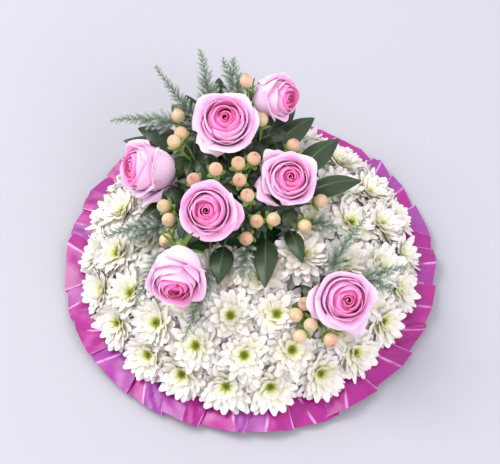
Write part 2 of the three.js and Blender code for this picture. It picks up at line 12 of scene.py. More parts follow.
import bmesh
import bpy
import numpy as np
from mathutils import Matrix, Vector


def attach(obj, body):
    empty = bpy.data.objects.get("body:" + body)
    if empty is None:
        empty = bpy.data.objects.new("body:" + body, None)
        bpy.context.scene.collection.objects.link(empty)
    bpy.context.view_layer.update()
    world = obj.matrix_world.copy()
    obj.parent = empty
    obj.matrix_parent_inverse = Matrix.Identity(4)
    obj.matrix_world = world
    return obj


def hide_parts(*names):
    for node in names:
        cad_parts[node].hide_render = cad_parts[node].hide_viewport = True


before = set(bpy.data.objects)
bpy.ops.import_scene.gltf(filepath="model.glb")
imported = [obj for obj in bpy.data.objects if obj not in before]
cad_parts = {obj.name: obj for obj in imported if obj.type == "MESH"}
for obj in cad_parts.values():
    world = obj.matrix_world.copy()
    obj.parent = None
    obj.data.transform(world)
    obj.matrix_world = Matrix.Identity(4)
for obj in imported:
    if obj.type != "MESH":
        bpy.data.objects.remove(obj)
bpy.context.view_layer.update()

# %% [markdown]
# The camera looks down on the posy from the front, as the florist's customer does. The view was worked
# out from the ribbon's outline: a flat circle shows as an ellipse, and the ellipse's height against
# its width gives how far down the camera looks.

# %% Camera
TARGET = Vector((0, 0.03655, 0))
DISTANCE = 1.2
ELEVATION = math.radians(56.29)
LENS = 103.92
SENSOR = 36

camera_data = bpy.data.cameras.new("camera")
camera_data.lens = LENS
camera_data.sensor_width = SENSOR
camera = bpy.data.objects.new("camera", camera_data)
camera.location = TARGET + DISTANCE * Vector((0, -math.cos(ELEVATION), math.sin(ELEVATION)))
camera.rotation_euler = (TARGET - camera.location).to_track_quat("-Z", "Y").to_euler()
bpy.context.scene.collection.objects.link(camera)
bpy.context.scene.camera = camera
print("camera at", [round(c, 3) for c in camera.location])

# %% [markdown]
# Nature never repeats itself, but a script has to give the same result each time. Every small
# difference between two petals comes from one repeatable draw: a number goes in, and a number between
# 0 and 1 comes out that looks random.

# %% A repeatable draw
MM = 0.001
# These numbers mean nothing in themselves. They only have to stay the same.
DRAW_STEP, DRAW_START, DRAW_STIR = 12.9898, 78.233, 43758.5453


def draw(n):
    s = math.sin(n * DRAW_STEP + DRAW_START) * DRAW_STIR
    return s - math.floor(s)


def between(low, high, n):
    return low + (high - low) * draw(n)


print("three draws:", [round(draw(n), 3) for n in (1, 2, 3)])

# %% [markdown]
# Petals and leaves are thin, but they aren't paper cut-outs: each is a closed shape with an upper and a
# lower skin. One flat patch serves them all. It is a grid, and a copy of it turned over and welded to
# it along the border. A form then says where the point at "across" (-1 to 1) and "along" (0 to 1) goes,
# and the two skins stand half a thickness to each side of it.

# %% A thin closed patch, and a form that bends it


def mesh_from(bm, name, smooth=False):
    """Turns a bmesh into a mesh. The bmesh is used up."""
    if smooth:
        for face in bm.faces:
            face.smooth = True
    mesh = bpy.data.meshes.new(name)
    bm.to_mesh(mesh)
    bm.free()
    return mesh


def add_values(mesh, values):
    """Gives a mesh attributes of one value each, for the materials to read."""
    for name, value in values.items():
        attribute = mesh.attributes.new(name, "FLOAT", "POINT")
        attribute.data.foreach_set("value", np.full(len(mesh.vertices), value, np.float32))
    return mesh


def closed_patch(across, along):
    bm = bmesh.new()
    bm.loops.layers.uv.new("UVMap")
    bmesh.ops.create_grid(bm, x_segments=across, y_segments=along, size=0.5, calc_uvs=True)
    inner = [vert for vert in bm.verts if not vert.is_boundary]
    copy = bmesh.ops.duplicate(bm, geom=bm.verts[:] + bm.edges[:] + bm.faces[:])
    lower = [item for item in copy["geom"] if isinstance(item, bmesh.types.BMFace)]
    bmesh.ops.reverse_faces(bm, faces=lower)
    lower_inner = [copy["vert_map"][vert] for vert in inner]
    for vert in inner:
        vert.co.z = 1
    for vert in lower_inner:
        vert.co.z = -1
    for face in lower:
        face.material_index = 1
    bmesh.ops.remove_doubles(bm, verts=bm.verts[:], dist=1e-4)
    for edge in bm.edges:
        if len({face.material_index for face in edge.link_faces}) > 1:
            edge.smooth = False
    print("patch", across, "x", along, "has", len(bm.faces), "faces on its two skins")
    return mesh_from(bm, "patch", smooth=True)


def bent(patch, form, thickness, **values):
    """A copy of the patch, bent by form(across, along), which gives points in millimetres."""
    mesh = patch.copy()
    co = np.empty(3 * len(mesh.vertices))
    mesh.vertices.foreach_get("co", co)
    flat = co.reshape(-1, 3)
    across, along, side = 2 * flat[:, 0], flat[:, 1] + 0.5, flat[:, 2]
    step = 1e-3
    rightward = form(across + step, along) - form(across - step, along)
    forward = form(across, along + step) - form(across, along - step)
    normal = np.cross(rightward, forward)
    normal /= np.maximum(np.linalg.norm(normal, axis=1), 1e-9)[:, None]
    points = form(across, along) + 0.5 * thickness * side[:, None] * normal
    mesh.vertices.foreach_set("co", points.ravel())
    return add_values(mesh, values)


def turned(turn, out, side, height):
    """Points by how far out and sideways they lie from the axis, turned round it."""
    c, s = math.cos(turn), math.sin(turn)
    return np.stack([out * c - side * s, out * s + side * c, height], 1)


def round_axis(radius, angle, height):
    """One point at a radius and an angle round the vertical axis."""
    return Vector((radius * math.cos(angle), radius * math.sin(angle), height))


def smoothstep(low, high, x):
    t = np.clip((x - low) / (high - low), 0, 1)
    return t * t * (3 - 2 * t)


def bezier(points, t):
    """A smooth curve over four points, at every t."""
    a, b, c, d = (np.asarray(p, float) for p in points)
    t = np.asarray(t, float)[..., None]
    return a * (1 - t) ** 3 + 3 * b * t * (1 - t) ** 2 + 3 * c * t * t * (1 - t) + d * t**3


# %% [markdown]
# A flower is a few dozen petals, and the posy has dozens of flowers, so the pieces are gathered in one
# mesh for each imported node. "Gathering" is a bmesh with the attributes that the materials read. A mesh
# is put in with a matrix that says where it goes.

# %% Gather meshes into one piece
ATTRIBUTES = ("heart", "shade")


def gathering():
    bm = bmesh.new()
    bm.loops.layers.uv.new("UVMap")
    for name in ATTRIBUTES:
        bm.verts.layers.float.new(name)
    return bm


def put(bm, mesh, matrix=None, keep=True):
    """Adds a copy of mesh, placed by matrix. A mesh that isn't needed again goes with keep=False."""
    copy = mesh.copy() if keep else mesh
    if matrix is not None:
        copy.transform(matrix)
    bm.from_mesh(copy)
    bpy.data.meshes.remove(copy)


def along_axis(axis, at, spin=0.0):
    """Turns +Z to axis, with a spin round it, and moves the origin to a point."""
    facing = Vector(axis).to_track_quat("Z", "Y").to_matrix().to_4x4()
    return Matrix.Translation(at) @ facing @ Matrix.Rotation(spin, 4, "Z")


def shortest_turn(axis):
    """The shortest turn from +Z to axis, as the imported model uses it."""
    return Vector((0, 0, 1)).rotation_difference(Vector(axis)).to_matrix().to_4x4()


def finished(name, bm, materials, replaces):
    """Makes the piece: in metres, at the origin, on the body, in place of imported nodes."""
    bmesh.ops.scale(bm, vec=(MM, MM, MM), verts=bm.verts[:])
    mesh = mesh_from(bm, name)
    for material in materials:
        mesh.materials.append(material)
    piece = bpy.data.objects.new(name, mesh)
    bpy.context.scene.collection.objects.link(piece)
    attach(piece, "root")
    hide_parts(*replaces)
    mesh.calc_loop_triangles()
    print(name, "has", len(mesh.loop_triangles), "triangles")
    return piece


# %% [markdown]
# A stem is a round tube: a circle that is extruded from point to point. Each new ring is the ring
# before it, moved and turned to the next point, so the tube never twists.

# %% Tubes for stems


def rounded(path, rounds=2):
    """Cuts the corners of a path, so that it bends as a stem does."""
    points = [Vector(p) for p in path]
    for _ in range(rounds):
        cut = [points[0]]
        for a, b in zip(points, points[1:]):
            cut += [a.lerp(b, 0.25), a.lerp(b, 0.75)]
        points = cut + [points[-1]]
    return points


def add_tube(bm, path, radii, sides=8, material=0):
    """Adds a tube with closed ends along a path. radii gives its radius at the start and at the end."""
    points = [Vector(p) for p in path]
    last = len(points) - 1
    first_face = len(bm.faces)
    places = []
    turn = (points[1] - points[0]).to_track_quat("Z", "Y")
    heading = (points[1] - points[0]).normalized()
    for i, point in enumerate(points):
        ahead = (points[min(i + 1, last)] - points[max(i - 1, 0)]).normalized()
        turn = heading.rotation_difference(ahead) @ turn
        heading = ahead
        radius = radii[0] + (radii[1] - radii[0]) * i / last
        places.append(Matrix.Translation(point) @ turn.to_matrix().to_4x4() @ Matrix.Scale(radius, 4))
    ring = bmesh.ops.create_circle(bm, cap_ends=False, radius=1, segments=sides, matrix=places[0])["verts"]
    edges = list({edge for vert in ring for edge in vert.link_edges})
    bmesh.ops.edgeloop_fill(bm, edges=edges)
    for before, place in zip(places, places[1:]):
        out = bmesh.ops.extrude_edge_only(bm, edges=edges)["geom"]
        verts = [item for item in out if isinstance(item, bmesh.types.BMVert)]
        edges = [item for item in out if isinstance(item, bmesh.types.BMEdge)]
        bmesh.ops.transform(bm, matrix=place @ before.inverted(), verts=verts)
    bmesh.ops.edgeloop_fill(bm, edges=edges)
    bm.faces.ensure_lookup_table()
    new = bm.faces[first_face:]
    bmesh.ops.recalc_face_normals(bm, faces=new)
    for face in new:
        face.material_index = material
        face.smooth = len(face.verts) == 4


# %% [markdown]
# The foam rises from its edge to a low dome. Every stem starts 16 mm down in it, comes out, rises over
# the flowers and runs on to what it carries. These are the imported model's own values, so each stem
# stands in its hole.

# %% Where the stems run
FOAM_TOP = [(0, 55.5), (32, 53.5), (62, 48.5), (88, 39), (106, 25), (110, 13)]
FOOT_DEPTH, OUT_OF_FOAM = 16, 1.5
FLOWER_TOP, BELOW_START = 76, 2


def route_to(start, foot):
    """The way from the foot of a stem up to its start: in the foam, out of it, and over the flowers."""
    top = float(np.interp(math.hypot(*foot), *zip(*FOAM_TOP)))
    out = Vector((foot[0], foot[1], top + OUT_OF_FOAM))
    rise = out.lerp(Vector(start), 0.2)
    rise.z = min(start[2] - BELOW_START, FLOWER_TOP)
    return [Vector((foot[0], foot[1], top - FOOT_DEPTH)), out, rise]


print("a stem over the middle:", [tuple(round(c) for c in p) for p in route_to((0, 0, 100), (0, 10))])

# %% [markdown]
# Materials are made with one helper. It builds a Principled shader, lets a recipe add nodes to it, and
# returns the material. The petals let a little light through, which is what makes white petals look
# soft instead of chalky, so they scatter light below their surface.

# %% A helper for materials


class Nodes:
    """Short names for the few nodes that the recipes below use."""

    def __init__(self, tree, shader):
        self.tree = tree
        self.shader = shader

    def add(self, kind, **settings):
        node = self.tree.nodes.new(kind)
        for name, value in settings.items():
            setattr(node, name, value)
        return node

    def link(self, a, b):
        self.tree.links.new(a, b)

    def attribute(self, name):
        return self.add("ShaderNodeAttribute", attribute_name=name).outputs["Fac"]

    def position(self):
        return self.add("ShaderNodeTexCoord").outputs["Object"]

    def uv(self):
        split = self.add("ShaderNodeSeparateXYZ")
        self.link(self.add("ShaderNodeUVMap", uv_map="UVMap").outputs["UV"], split.inputs[0])
        return split.outputs["X"], split.outputs["Y"]

    def noise(self, scale, detail=3.0, stretch=(1, 1, 1), source=None):
        mapping = self.add("ShaderNodeMapping")
        mapping.inputs["Scale"].default_value = stretch
        self.link(source or self.position(), mapping.inputs["Vector"])
        noise = self.add("ShaderNodeTexNoise")
        noise.inputs["Scale"].default_value = scale
        noise.inputs["Detail"].default_value = detail
        self.link(mapping.outputs["Vector"], noise.inputs["Vector"])
        return noise.outputs["Fac"]

    def ramp(self, factor, stops):
        """A colour ramp; stops are (position, colour)."""
        ramp = self.add("ShaderNodeValToRGB")
        ramp.color_ramp.interpolation = "EASE"
        elements = ramp.color_ramp.elements
        while len(elements) < len(stops):
            elements.new(0.5)
        for element, (place, colour) in zip(elements, stops):
            element.position = place
            element.color = (*colour, 1)
        self.link(factor, ramp.inputs["Fac"])
        return ramp.outputs["Color"]

    def mix(self, factor, a, b, blend="MIX"):
        mix = self.add("ShaderNodeMix", data_type="RGBA", blend_type=blend)
        for socket, value in ((mix.inputs["Factor"], factor), (mix.inputs["A"], a), (mix.inputs["B"], b)):
            if isinstance(value, (int, float)):
                socket.default_value = value
            elif isinstance(value, tuple):
                socket.default_value = (*value, 1)
            else:
                self.link(value, socket)
        return mix.outputs["Result"]

    def math(self, operation, a, b=0.0):
        node = self.add("ShaderNodeMath", operation=operation)
        for socket, value in zip(node.inputs, (a, b)):
            if isinstance(value, (int, float)):
                socket.default_value = value
            else:
                self.link(value, socket)
        return node.outputs["Value"]

    def times(self, a, b):
        return self.math("MULTIPLY", a, b)

    def from_line(self, value, line):
        """How far a value is from a line, on either side."""
        return self.math("ABSOLUTE", self.math("SUBTRACT", value, line))

    def grain(self, x, stretch_x, y, stretch_y, detail):
        """Noise that is drawn out one way over a surface, as threads and veins are."""
        place = self.add("ShaderNodeCombineXYZ")
        self.link(self.times(x, stretch_x), place.inputs["X"])
        self.link(self.times(y, stretch_y), place.inputs["Y"])
        return self.noise(1.0, detail, source=place.outputs["Vector"])

    def cells(self, scale):
        cells = self.add("ShaderNodeTexVoronoi")
        cells.inputs["Scale"].default_value = scale
        self.link(self.position(), cells.inputs["Vector"])
        return cells.outputs["Distance"]

    def spread(self, value, low, high, to_low, to_high):
        """Maps one range to another, smoothly, and holds it at the ends."""
        node = self.add("ShaderNodeMapRange", interpolation_type="SMOOTHSTEP")
        for name, number in zip(("From Min", "From Max", "To Min", "To Max"), (low, high, to_low, to_high)):
            node.inputs[name].default_value = number
        self.link(value, node.inputs["Value"])
        return node.outputs["Result"]

    def bump(self, height, distance, strength=1.0):
        bump = self.add("ShaderNodeBump")
        bump.inputs["Strength"].default_value = strength
        bump.inputs["Distance"].default_value = distance
        self.link(height, bump.inputs["Height"])
        self.link(bump.outputs["Normal"], self.shader.inputs["Normal"])

    def colour(self, socket):
        self.link(socket, self.shader.inputs["Base Color"])

    def mottled(self, scale, a, b):
        """A colour that wanders between two."""
        self.colour(self.mix(self.noise(scale), a, b))


def material(name, recipe, **constants):
    made = bpy.data.materials.new(name)
    made.use_nodes = True
    shader = made.node_tree.nodes["Principled BSDF"]
    for socket, value in constants.items():
        shader.inputs[socket.replace("_", " ")].default_value = value
    recipe(Nodes(made.node_tree, shader))
    return made


# %% [markdown]
# The plain surfaces first. Floral foam is a fine open-celled green foam, and its backing is moulded
# rigid foam, whose beads show as small rounded cells. Both stay as packed: they are mostly hidden, and
# only need their finish.

# %% Foam and backing


def foam_look(n):
    n.mottled(60, (0.035, 0.10, 0.03), (0.07, 0.17, 0.05))
    n.bump(n.cells(900), 0.0006)


def backing_look(n):
    beads = n.cells(260)
    n.colour(n.ramp(beads, [(0, (0.86, 0.87, 0.83)), (0.7, (0.74, 0.76, 0.72))]))
    n.bump(beads, 0.0008, 0.6)


dressed = {
    "foam_disc": material("floral_foam", foam_look, Roughness=0.95),
    "backing_disc": material("moulded_backing", backing_look, Roughness=0.7),
}
for node, look in dressed.items():
    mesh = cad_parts[node].data
    mesh.materials.clear()
    mesh.materials.append(look)
print("dressed as packed:", sorted(dressed))

# %% [markdown]
# The edging is one long strip of satin, laid in knife pleats and stuck round the foam's edge. Each
# pleat runs forward, folds under, comes back, and the next one starts on top of it. The strip is a grid
# whose columns follow those folds. A pleat isn't a flat card: it swells a little between its creases
# and opens towards the outer edge, so the cloth catches the light in long streaks.

# %% Satin edging
PLEATS = 26
RING_INNER, RING_OUTER = 112.6, 151
RING_INNER_HEIGHT, RING_OUTER_HEIGHT = 11, 4.4
PLEAT_RISE, PLEAT_FOLD, PLEAT_OVERLAP, PLEAT_WANDER = 2.2, 1.6, 0.46, 0.2
SATIN, SHARP_CREASE = 0.3, math.radians(13)
PITCH = 2 * math.pi / PLEATS
# How many columns each part of a pleat has: up to the ridge, down to the front crease, round it, back
# underneath, and up again
COLUMNS = (9, 8, 2, 5, 2)
ROWS_ACROSS = 12


def pleat_starts():
    starts = [(k + PLEAT_WANDER * (draw(k + 5) - 0.5)) * PITCH for k in range(PLEATS)]
    return starts + [starts[0] + 2 * math.pi]


def crease_point(crease, across):
    """A point of a crease: its angle slides outwards by its slant, and it may be tucked in from the rim."""
    angle, slant, inner_lift, outer_lift, tuck = crease
    radius = RING_INNER + (RING_OUTER - RING_INNER - tuck) * across
    height = RING_INNER_HEIGHT + (RING_OUTER_HEIGHT - RING_INNER_HEIGHT) * across
    height += inner_lift + (outer_lift - inner_lift) * across
    return round_axis(radius, angle + slant * (across - 0.5), height)


def ribbon_creases():
    """The creases in order, once round the ring: angle, slant, lift at the foam, lift at the rim, tuck."""
    starts = pleat_starts()
    creases = []
    for k in range(PLEATS):
        following = starts[k + 1]
        front = following + PLEAT_OVERLAP * PITCH
        slant, next_slant = ((between(-0.45, 0.45, j % PLEATS + 61) * PITCH) for j in (k, k + 1))
        ridge = starts[k] + (front - starts[k]) * between(0.50, 0.74, k + 23)
        ridge_slant = slant + between(-0.5, 0.5, k + 87) * PITCH
        lip = between(0.2, 1.0, k + 31) * PLEAT_RISE
        creases += [
            (starts[k], slant, -PLEAT_RISE, -PLEAT_RISE, 3),
            (ridge, ridge_slant, between(0.6, 3.0, k + 41), between(0.8, 7.5, k + 53), 0),
            (front, next_slant, lip, lip, 0),
            (front, next_slant, lip - PLEAT_FOLD, lip - PLEAT_FOLD, 1.5),
            (following, next_slant, PLEAT_FOLD - PLEAT_RISE, PLEAT_FOLD - PLEAT_RISE, 3),
        ]
    return creases + [(starts[-1], *creases[0][1:])]


def satin_edging():
    creases = ribbon_creases()
    parts = len(COLUMNS)
    columns = []
    for k in range(PLEATS):
        for part, count in enumerate(COLUMNS):
            columns += [(parts * k + part, i / count) for i in range(count)]
    bm = bmesh.new()
    bm.loops.layers.uv.new("UVMap")
    bmesh.ops.create_grid(bm, x_segments=len(columns), y_segments=ROWS_ACROSS, size=0.5, calc_uvs=True)
    for vert in bm.verts:
        column = round((vert.co.x + 0.5) * len(columns)) % len(columns)
        across = vert.co.y + 0.5
        crease, share = columns[column]
        ends = [crease_point(c, across) for c in creases[crease:crease + 2]]
        part, pleat = crease % parts, crease // parts
        swell = math.sin(math.pi * share)
        lift = 0
        if part < 2:
            lift = swell * between(-0.9, 1.3, crease) * (0.4 + 0.6 * across)
            lift += 0.8 * swell * math.sin(7 * across + 5 * share + pleat)
            lift += 0.5 * swell * math.sin(12 * across - 9 * share + 2 * pleat)
        elif part == 3:
            lift = -0.4 * swell
        vert.co = ends[0].lerp(ends[1], share) + Vector((0, 0, lift))
    bmesh.ops.remove_doubles(bm, verts=bm.verts[:], dist=1e-3)
    bmesh.ops.solidify(bm, geom=bm.faces[:], thickness=SATIN)
    bmesh.ops.recalc_face_normals(bm, faces=bm.faces[:])
    for face in bm.faces:
        face.smooth = True
    for edge in bm.edges:
        if len(edge.link_faces) == 2 and edge.calc_face_angle(0) > SHARP_CREASE:
            edge.smooth = False
    return bm


MAGENTA = [(0.25, (0.28, 0.002, 0.16)), (0.6, (0.36, 0.003, 0.21)), (0.85, (0.31, 0.010, 0.24))]
# The lilac is a painted sheen on some faces of the pleats, and the pale pink is a painted highlight along
# the creases.
PAINTED_SHEEN_LILAC, PAINTED_CREASE_HIGHLIGHT = (0.28, 0.05, 0.32), (0.74, 0.40, 0.70)
RIDGE, FRONT = (sum(COLUMNS[:part]) / sum(COLUMNS) for part in (1, 2))
CREASE_WIDTH = 0.022


def satin_look(n):
    """Some faces of the pleats are painted with a lilac sheen, and painted highlights run along the creases
    in broken lines.
    """
    along, across = n.uv()
    drawn = n.grain(along, 220.0, across, 2.0, 2.0)
    pleat = n.times(along, PLEATS)
    within = n.math("FRACT", pleat)
    facet = n.add("ShaderNodeTexWhiteNoise", noise_dimensions="1D")
    half = n.times(n.math("GREATER_THAN", within, RIDGE), 0.5)
    n.link(n.math("ADD", n.math("FLOOR", pleat), half), facet.inputs["W"])
    # How much painted lilac sheen each half of a pleat gets, drawn at random.
    sheen = n.spread(facet.outputs["Value"], 0.5, 1.0, 0.0, 0.7)
    cloth = n.mix(sheen, n.ramp(drawn, MAGENTA), PAINTED_SHEEN_LILAC)
    # Painted highlights along the ridge and front creases, broken by the grain.
    for crease in (RIDGE, FRONT):
        line = n.spread(n.from_line(within, crease), 0.0, CREASE_WIDTH, 0.75, 0.0)
        broken = n.spread(drawn, 0.4, 0.6, 0.0, 1.0)
        cloth = n.mix(n.times(line, broken), cloth, PAINTED_CREASE_HIGHLIGHT)
    n.colour(cloth)
    threads = n.add("ShaderNodeTexWave", bands_direction="X")
    threads.inputs["Scale"].default_value = 900
    n.link(n.add("ShaderNodeUVMap", uv_map="UVMap").outputs["UV"], threads.inputs["Vector"])
    n.bump(n.math("ADD", n.times(threads.outputs["Fac"], 0.15), drawn), 0.0007, 0.5)


SATIN_LOOK = material("satin_ribbon", satin_look, Roughness=0.28, Specular_IOR_Level=0.5,
                      Coat_Weight=0.12, Coat_Roughness=0.12)
edging = finished("ribbon_edging_satin", satin_edging(), [SATIN_LOOK], ["ribbon_edging"])

# %% [markdown]
# Next the white ground. Each chrysanthemum has a small lime disc of tube florets and five whorls of
# broad petals: the outer ones lie open and the inner ones stand up round the disc. Where two flowers
# meet, a petal that reaches well past the halfway wall is pushed back and stands up, just as packed
# petals do.

# %% Where the chrysanthemums stand
ROWS = [
    {"name": "rim", "radius": 123, "height": 26, "lean": 54, "count": 22, "turn": 0},
    {"name": "shoulder", "radius": 106, "height": 47, "lean": 35, "count": 18, "turn": 7},
    {"name": "upper", "radius": 80, "height": 60, "lean": 20, "count": 14, "turn": 4},
    {"name": "crown", "radius": 49, "height": 67, "lean": 10, "count": 9, "turn": 2},
]
CLUSTER_GAP = (-12, 16, 54, 54)
ROSE_GAP = (65, -62, 15, 15)
BLOOM_DEPTH = 13
NEAR = 55
RIBBON_TOP, OVER_RIBBON = 11, 0.6


def inside_gap(point, gap):
    x, y, half_x, half_y = gap
    return math.hypot((point.x - x) / half_x, (point.y - y) / half_y) < 1


def all_blooms():
    blooms = []
    for r, row in enumerate(ROWS):
        for i in range(row["count"]):
            seed = 100 * r + i
            angle = math.radians(row["turn"] + 360 / row["count"] * (i + between(-0.1, 0.1, seed)))
            lean = math.radians(row["lean"] + between(-3, 3, seed + 0.3))
            axis = round_axis(math.sin(lean), angle, math.cos(lean))
            disc = round_axis(row["radius"], angle, row["height"])
            base = disc - BLOOM_DEPTH * axis
            if not inside_gap(disc, CLUSTER_GAP) and not inside_gap(disc, ROSE_GAP):
                blooms.append({"row": r, "seed": seed, "axis": axis, "disc": disc, "base": base})
    return blooms


def walls_of(bloom, blooms):
    """The walls of a bloom's own space: halfway to each neighbour, and the ribbon.

    Each is a point, the way out, and 1 where petals may reach past it and 0 where they may not.
    """
    walls = [(np.array((0, 0, RIBBON_TOP + OVER_RIBBON)), np.array((0, 0, -1.0)), 0.0)]
    for other in blooms:
        if other is bloom or (other["disc"] - bloom["disc"]).length > NEAR:
            continue
        mean = (bloom["axis"] + other["axis"]).normalized()
        away = other["disc"] - bloom["disc"]
        away = (away - away.dot(mean) * mean).normalized()
        walls.append((np.array(bloom["disc"].lerp(other["disc"], 0.5)), np.array(away), 1.0))
    return walls


BLOOMS = all_blooms()
print("chrysanthemums in each row:", [sum(b["row"] == r for b in BLOOMS) for r in range(len(ROWS))])

# %% [markdown]
# A petal starts as a narrow claw, widens, and ends in a rounded tip with a slight nick. Its edges turn
# up near the claw. The whorl table says how many petals there are, how long and wide they are, and how
# steeply they rise at the claw and at the tip.

# %% Chrysanthemum petals
PETAL_PATCH = closed_patch(4, 6)
LOW_PATCH = closed_patch(3, 4)
PETAL_THICKNESS = 0.32
# petals, length, width, rise at the claw, rise at the tip, height of the claw
WHORLS = [
    (16, 21.0, 10.4, -12, -16, 8.6),
    (18, 22.5, 9.0, 0, 4, 10.2),
    (16, 19.5, 8.4, 12, 18, 10.8),
    (13, 15.5, 7.4, 24, 36, 11.2),
    (11, 10.0, 5.6, 40, 64, 11.6),
]
CLAW_RADIUS = 3.2
# Above the rim, the lowest petals are this much longer, and fill the ground between the flowers
FILLING = 1.25
# How far petals may reach past a wall at most, and how much of what is pushed back goes up
PUSHED_PAST, PUSHED_UP = 7.0, 0.8
NICK, TAPER = 0.03, 0.44


def white_petal(bloom, walls, whorl, i):
    count, length, width, rise, tip_rise, height = WHORLS[whorl]
    seed = bloom["seed"] + 37.1 * whorl + 1.7 * i
    length *= between(0.84, 1.1, seed)
    if whorl == 0 and bloom["row"] > 0:
        length *= FILLING
    width *= between(0.82, 1.1, seed + 0.2)
    rise = math.radians(rise + between(-6, 6, seed + 0.4))
    tip_rise = math.radians(tip_rise + between(-20, 32, seed + 0.6))
    bend = tip_rise - rise if abs(tip_rise - rise) > 0.01 else 0.01
    turn = 2 * math.pi * (i + 0.5 * whorl + between(-0.16, 0.16, seed + 0.8)) / count + bloom["seed"]
    roll = math.radians(between(-28, 28, seed + 1.1))
    cup = between(0.5, 1.5, seed + 1.3)
    past = between(-1.0, PUSHED_PAST, seed + 1.5)
    place = np.array((Matrix.Translation(bloom["base"]) @ shortest_turn(bloom["axis"])))
    axis = place[:3, 2]
    outward = np.array((math.cos(turn), math.sin(turn), 0))
    sideways = np.array((-math.sin(turn), math.cos(turn), 0))

    def form(u, v):
        reach = v * (1 - 0.13 * u * u * v * v) - NICK * np.exp(-6 * u * u) * smoothstep(0.8, 1, v)
        angle = rise + bend * reach
        radial = CLAW_RADIUS + length * (np.sin(angle) - math.sin(rise)) / bend
        lift = height - length * (np.cos(angle) - math.cos(rise)) / bend
        half = 0.5 * width * (0.3 + 0.7 * smoothstep(0, 0.6, v)) * (1 - TAPER * smoothstep(0.64, 1, v))
        side = half * u * math.cos(roll)
        raised = half * u * math.sin(roll) + cup * u * u * (1.1 - 1.3 * v)
        radial = radial - np.sin(angle) * raised
        lift = lift + np.cos(angle) * raised
        local = radial[:, None] * outward + side[:, None] * sideways
        local[:, 2] += lift
        points = local @ place[:3, :3].T + place[:3, 3]
        for point, away, yields in walls:
            beyond = np.maximum((points - point) @ away - past * yields, 0)
            points = points - beyond[:, None] * away + (PUSHED_UP * yields * beyond)[:, None] * axis
        return points

    patch = PETAL_PATCH if whorl else LOW_PATCH
    return bent(patch, form, PETAL_THICKNESS, heart=whorl / (len(WHORLS) - 1), shade=draw(seed + 1.9))


# %% [markdown]
# The disc is a low dome set with tube florets. They follow the golden angle, which is how a real disc
# packs them. The florets at the rim of some flowers have opened and carry pollen.

# %% The lime discs
GOLDEN_ANGLE = math.radians(137.508)
DISC_RADIUS = 4.1
FLORETS = 40


def floret_mesh():
    bm = bmesh.new()
    bmesh.ops.create_cone(bm, cap_ends=True, segments=5, radius1=0.42, radius2=0.3, depth=1.5)
    top = [face for face in bm.faces if face.calc_center_median().z > 0.7]
    bmesh.ops.inset_region(bm, faces=top, thickness=0.12, depth=-0.35)
    return mesh_from(bm, "floret")


def ball_mesh(name, segments, rings, size, lowered=0.0):
    """A ball of a size in x, y and z, let down by some millimetres."""
    bm = bmesh.new()
    bmesh.ops.create_uvsphere(bm, u_segments=segments, v_segments=rings, radius=1)
    bmesh.ops.scale(bm, vec=size, verts=bm.verts[:])
    bmesh.ops.translate(bm, vec=(0, 0, -lowered), verts=bm.verts[:])
    return mesh_from(bm, name, smooth=True)


def in_material(mesh, index):
    """Gives every face of a mesh one material, by its place in the piece's list."""
    mesh.polygons.foreach_set("material_index", np.full(len(mesh.polygons), index, np.int32))
    return mesh


def marked(mesh, **values):
    """A copy of a part of the disc, with attributes of one value."""
    return in_material(add_values(mesh.copy(), values), 2)


FLORET = floret_mesh()
DOME = ball_mesh("disc_dome", 12, 8, (DISC_RADIUS, DISC_RADIUS, 1.6))
DOME_HEIGHT, FLORET_HEIGHT = 10.3, 12.5
OPEN_RIM = 1.18


def add_disc(bm, bloom):
    seed = bloom["seed"]
    place = Matrix.Translation(bloom["base"]) @ shortest_turn(bloom["axis"])
    dome_at = place @ Matrix.Translation((0, 0, DOME_HEIGHT))
    # The dome shows only between the florets. Its dark olive is the disc's own dark centre, deepened into
    # painted shade so that the gaps between the florets look dark.
    put(bm, marked(DOME, heart=0.38, shade=0.2), dome_at, keep=False)
    open_rim = draw(seed + 7.7) > 0.45
    for i in range(FLORETS):
        share = math.sqrt((i + 0.5) / FLORETS)
        radius = DISC_RADIUS * share * (OPEN_RIM if open_rim and share > 0.8 else 1)
        angle = i * GOLDEN_ANGLE + seed
        height = FLORET_HEIGHT - 1.5 * share * share + between(-0.3, 0.5, seed + i)
        if share < 0.3:
            height -= 0.7
        tilt = Matrix.Rotation(0.55 * share, 4, Vector((-math.sin(angle), math.cos(angle), 0)))
        at = Matrix.Translation(round_axis(radius, angle, height))
        put(bm, marked(FLORET, heart=share, shade=draw(seed + 3 * i)), place @ at @ tilt, keep=False)


# %% [markdown]
# The petals are creamy white, a touch of green where they leave the disc, and a painted warmer cream on
# their lower half for the shade deep in the flower, with fine lengthwise ribs.
# The disc goes from dark olive in the middle, where the florets are still closed, to lime and then pale
# yellow at its rim.

# %% Chrysanthemum materials


# Along the petal: green where it leaves the disc, which is the petal's own, then a warmer, deeper cream on
# its lower half, which is painted warm shade deep in the flower, then cream white towards the tip.
PETAL_CREAM_AND_PAINTED_SHADE = [(0.0, (0.74, 0.80, 0.24)), (0.38, (0.87, 0.855, 0.64)), (0.8, (0.885, 0.845, 0.80))]
LIME = [(0.0, (0.022, 0.025, 0.003)), (0.34, (0.05, 0.06, 0.006)), (0.5, (0.50, 0.60, 0.05)),
        (0.72, (0.80, 0.84, 0.12)), (1.0, (0.93, 0.90, 0.40))]


def white_look(n):
    across, along = n.uv()
    some_shade = n.times(n.attribute("shade"), 0.3)
    n.colour(n.mix(some_shade, n.ramp(along, PETAL_CREAM_AND_PAINTED_SHADE), (0.95, 0.90, 0.74), "MULTIPLY"))
    n.bump(n.math("SINE", n.times(across, 38.0)), 0.00022, 0.5)


def disc_look(n):
    lime = n.ramp(n.attribute("heart"), LIME)
    n.colour(n.mix(n.times(n.attribute("shade"), 0.3), lime, (0.80, 0.74, 0.14)))


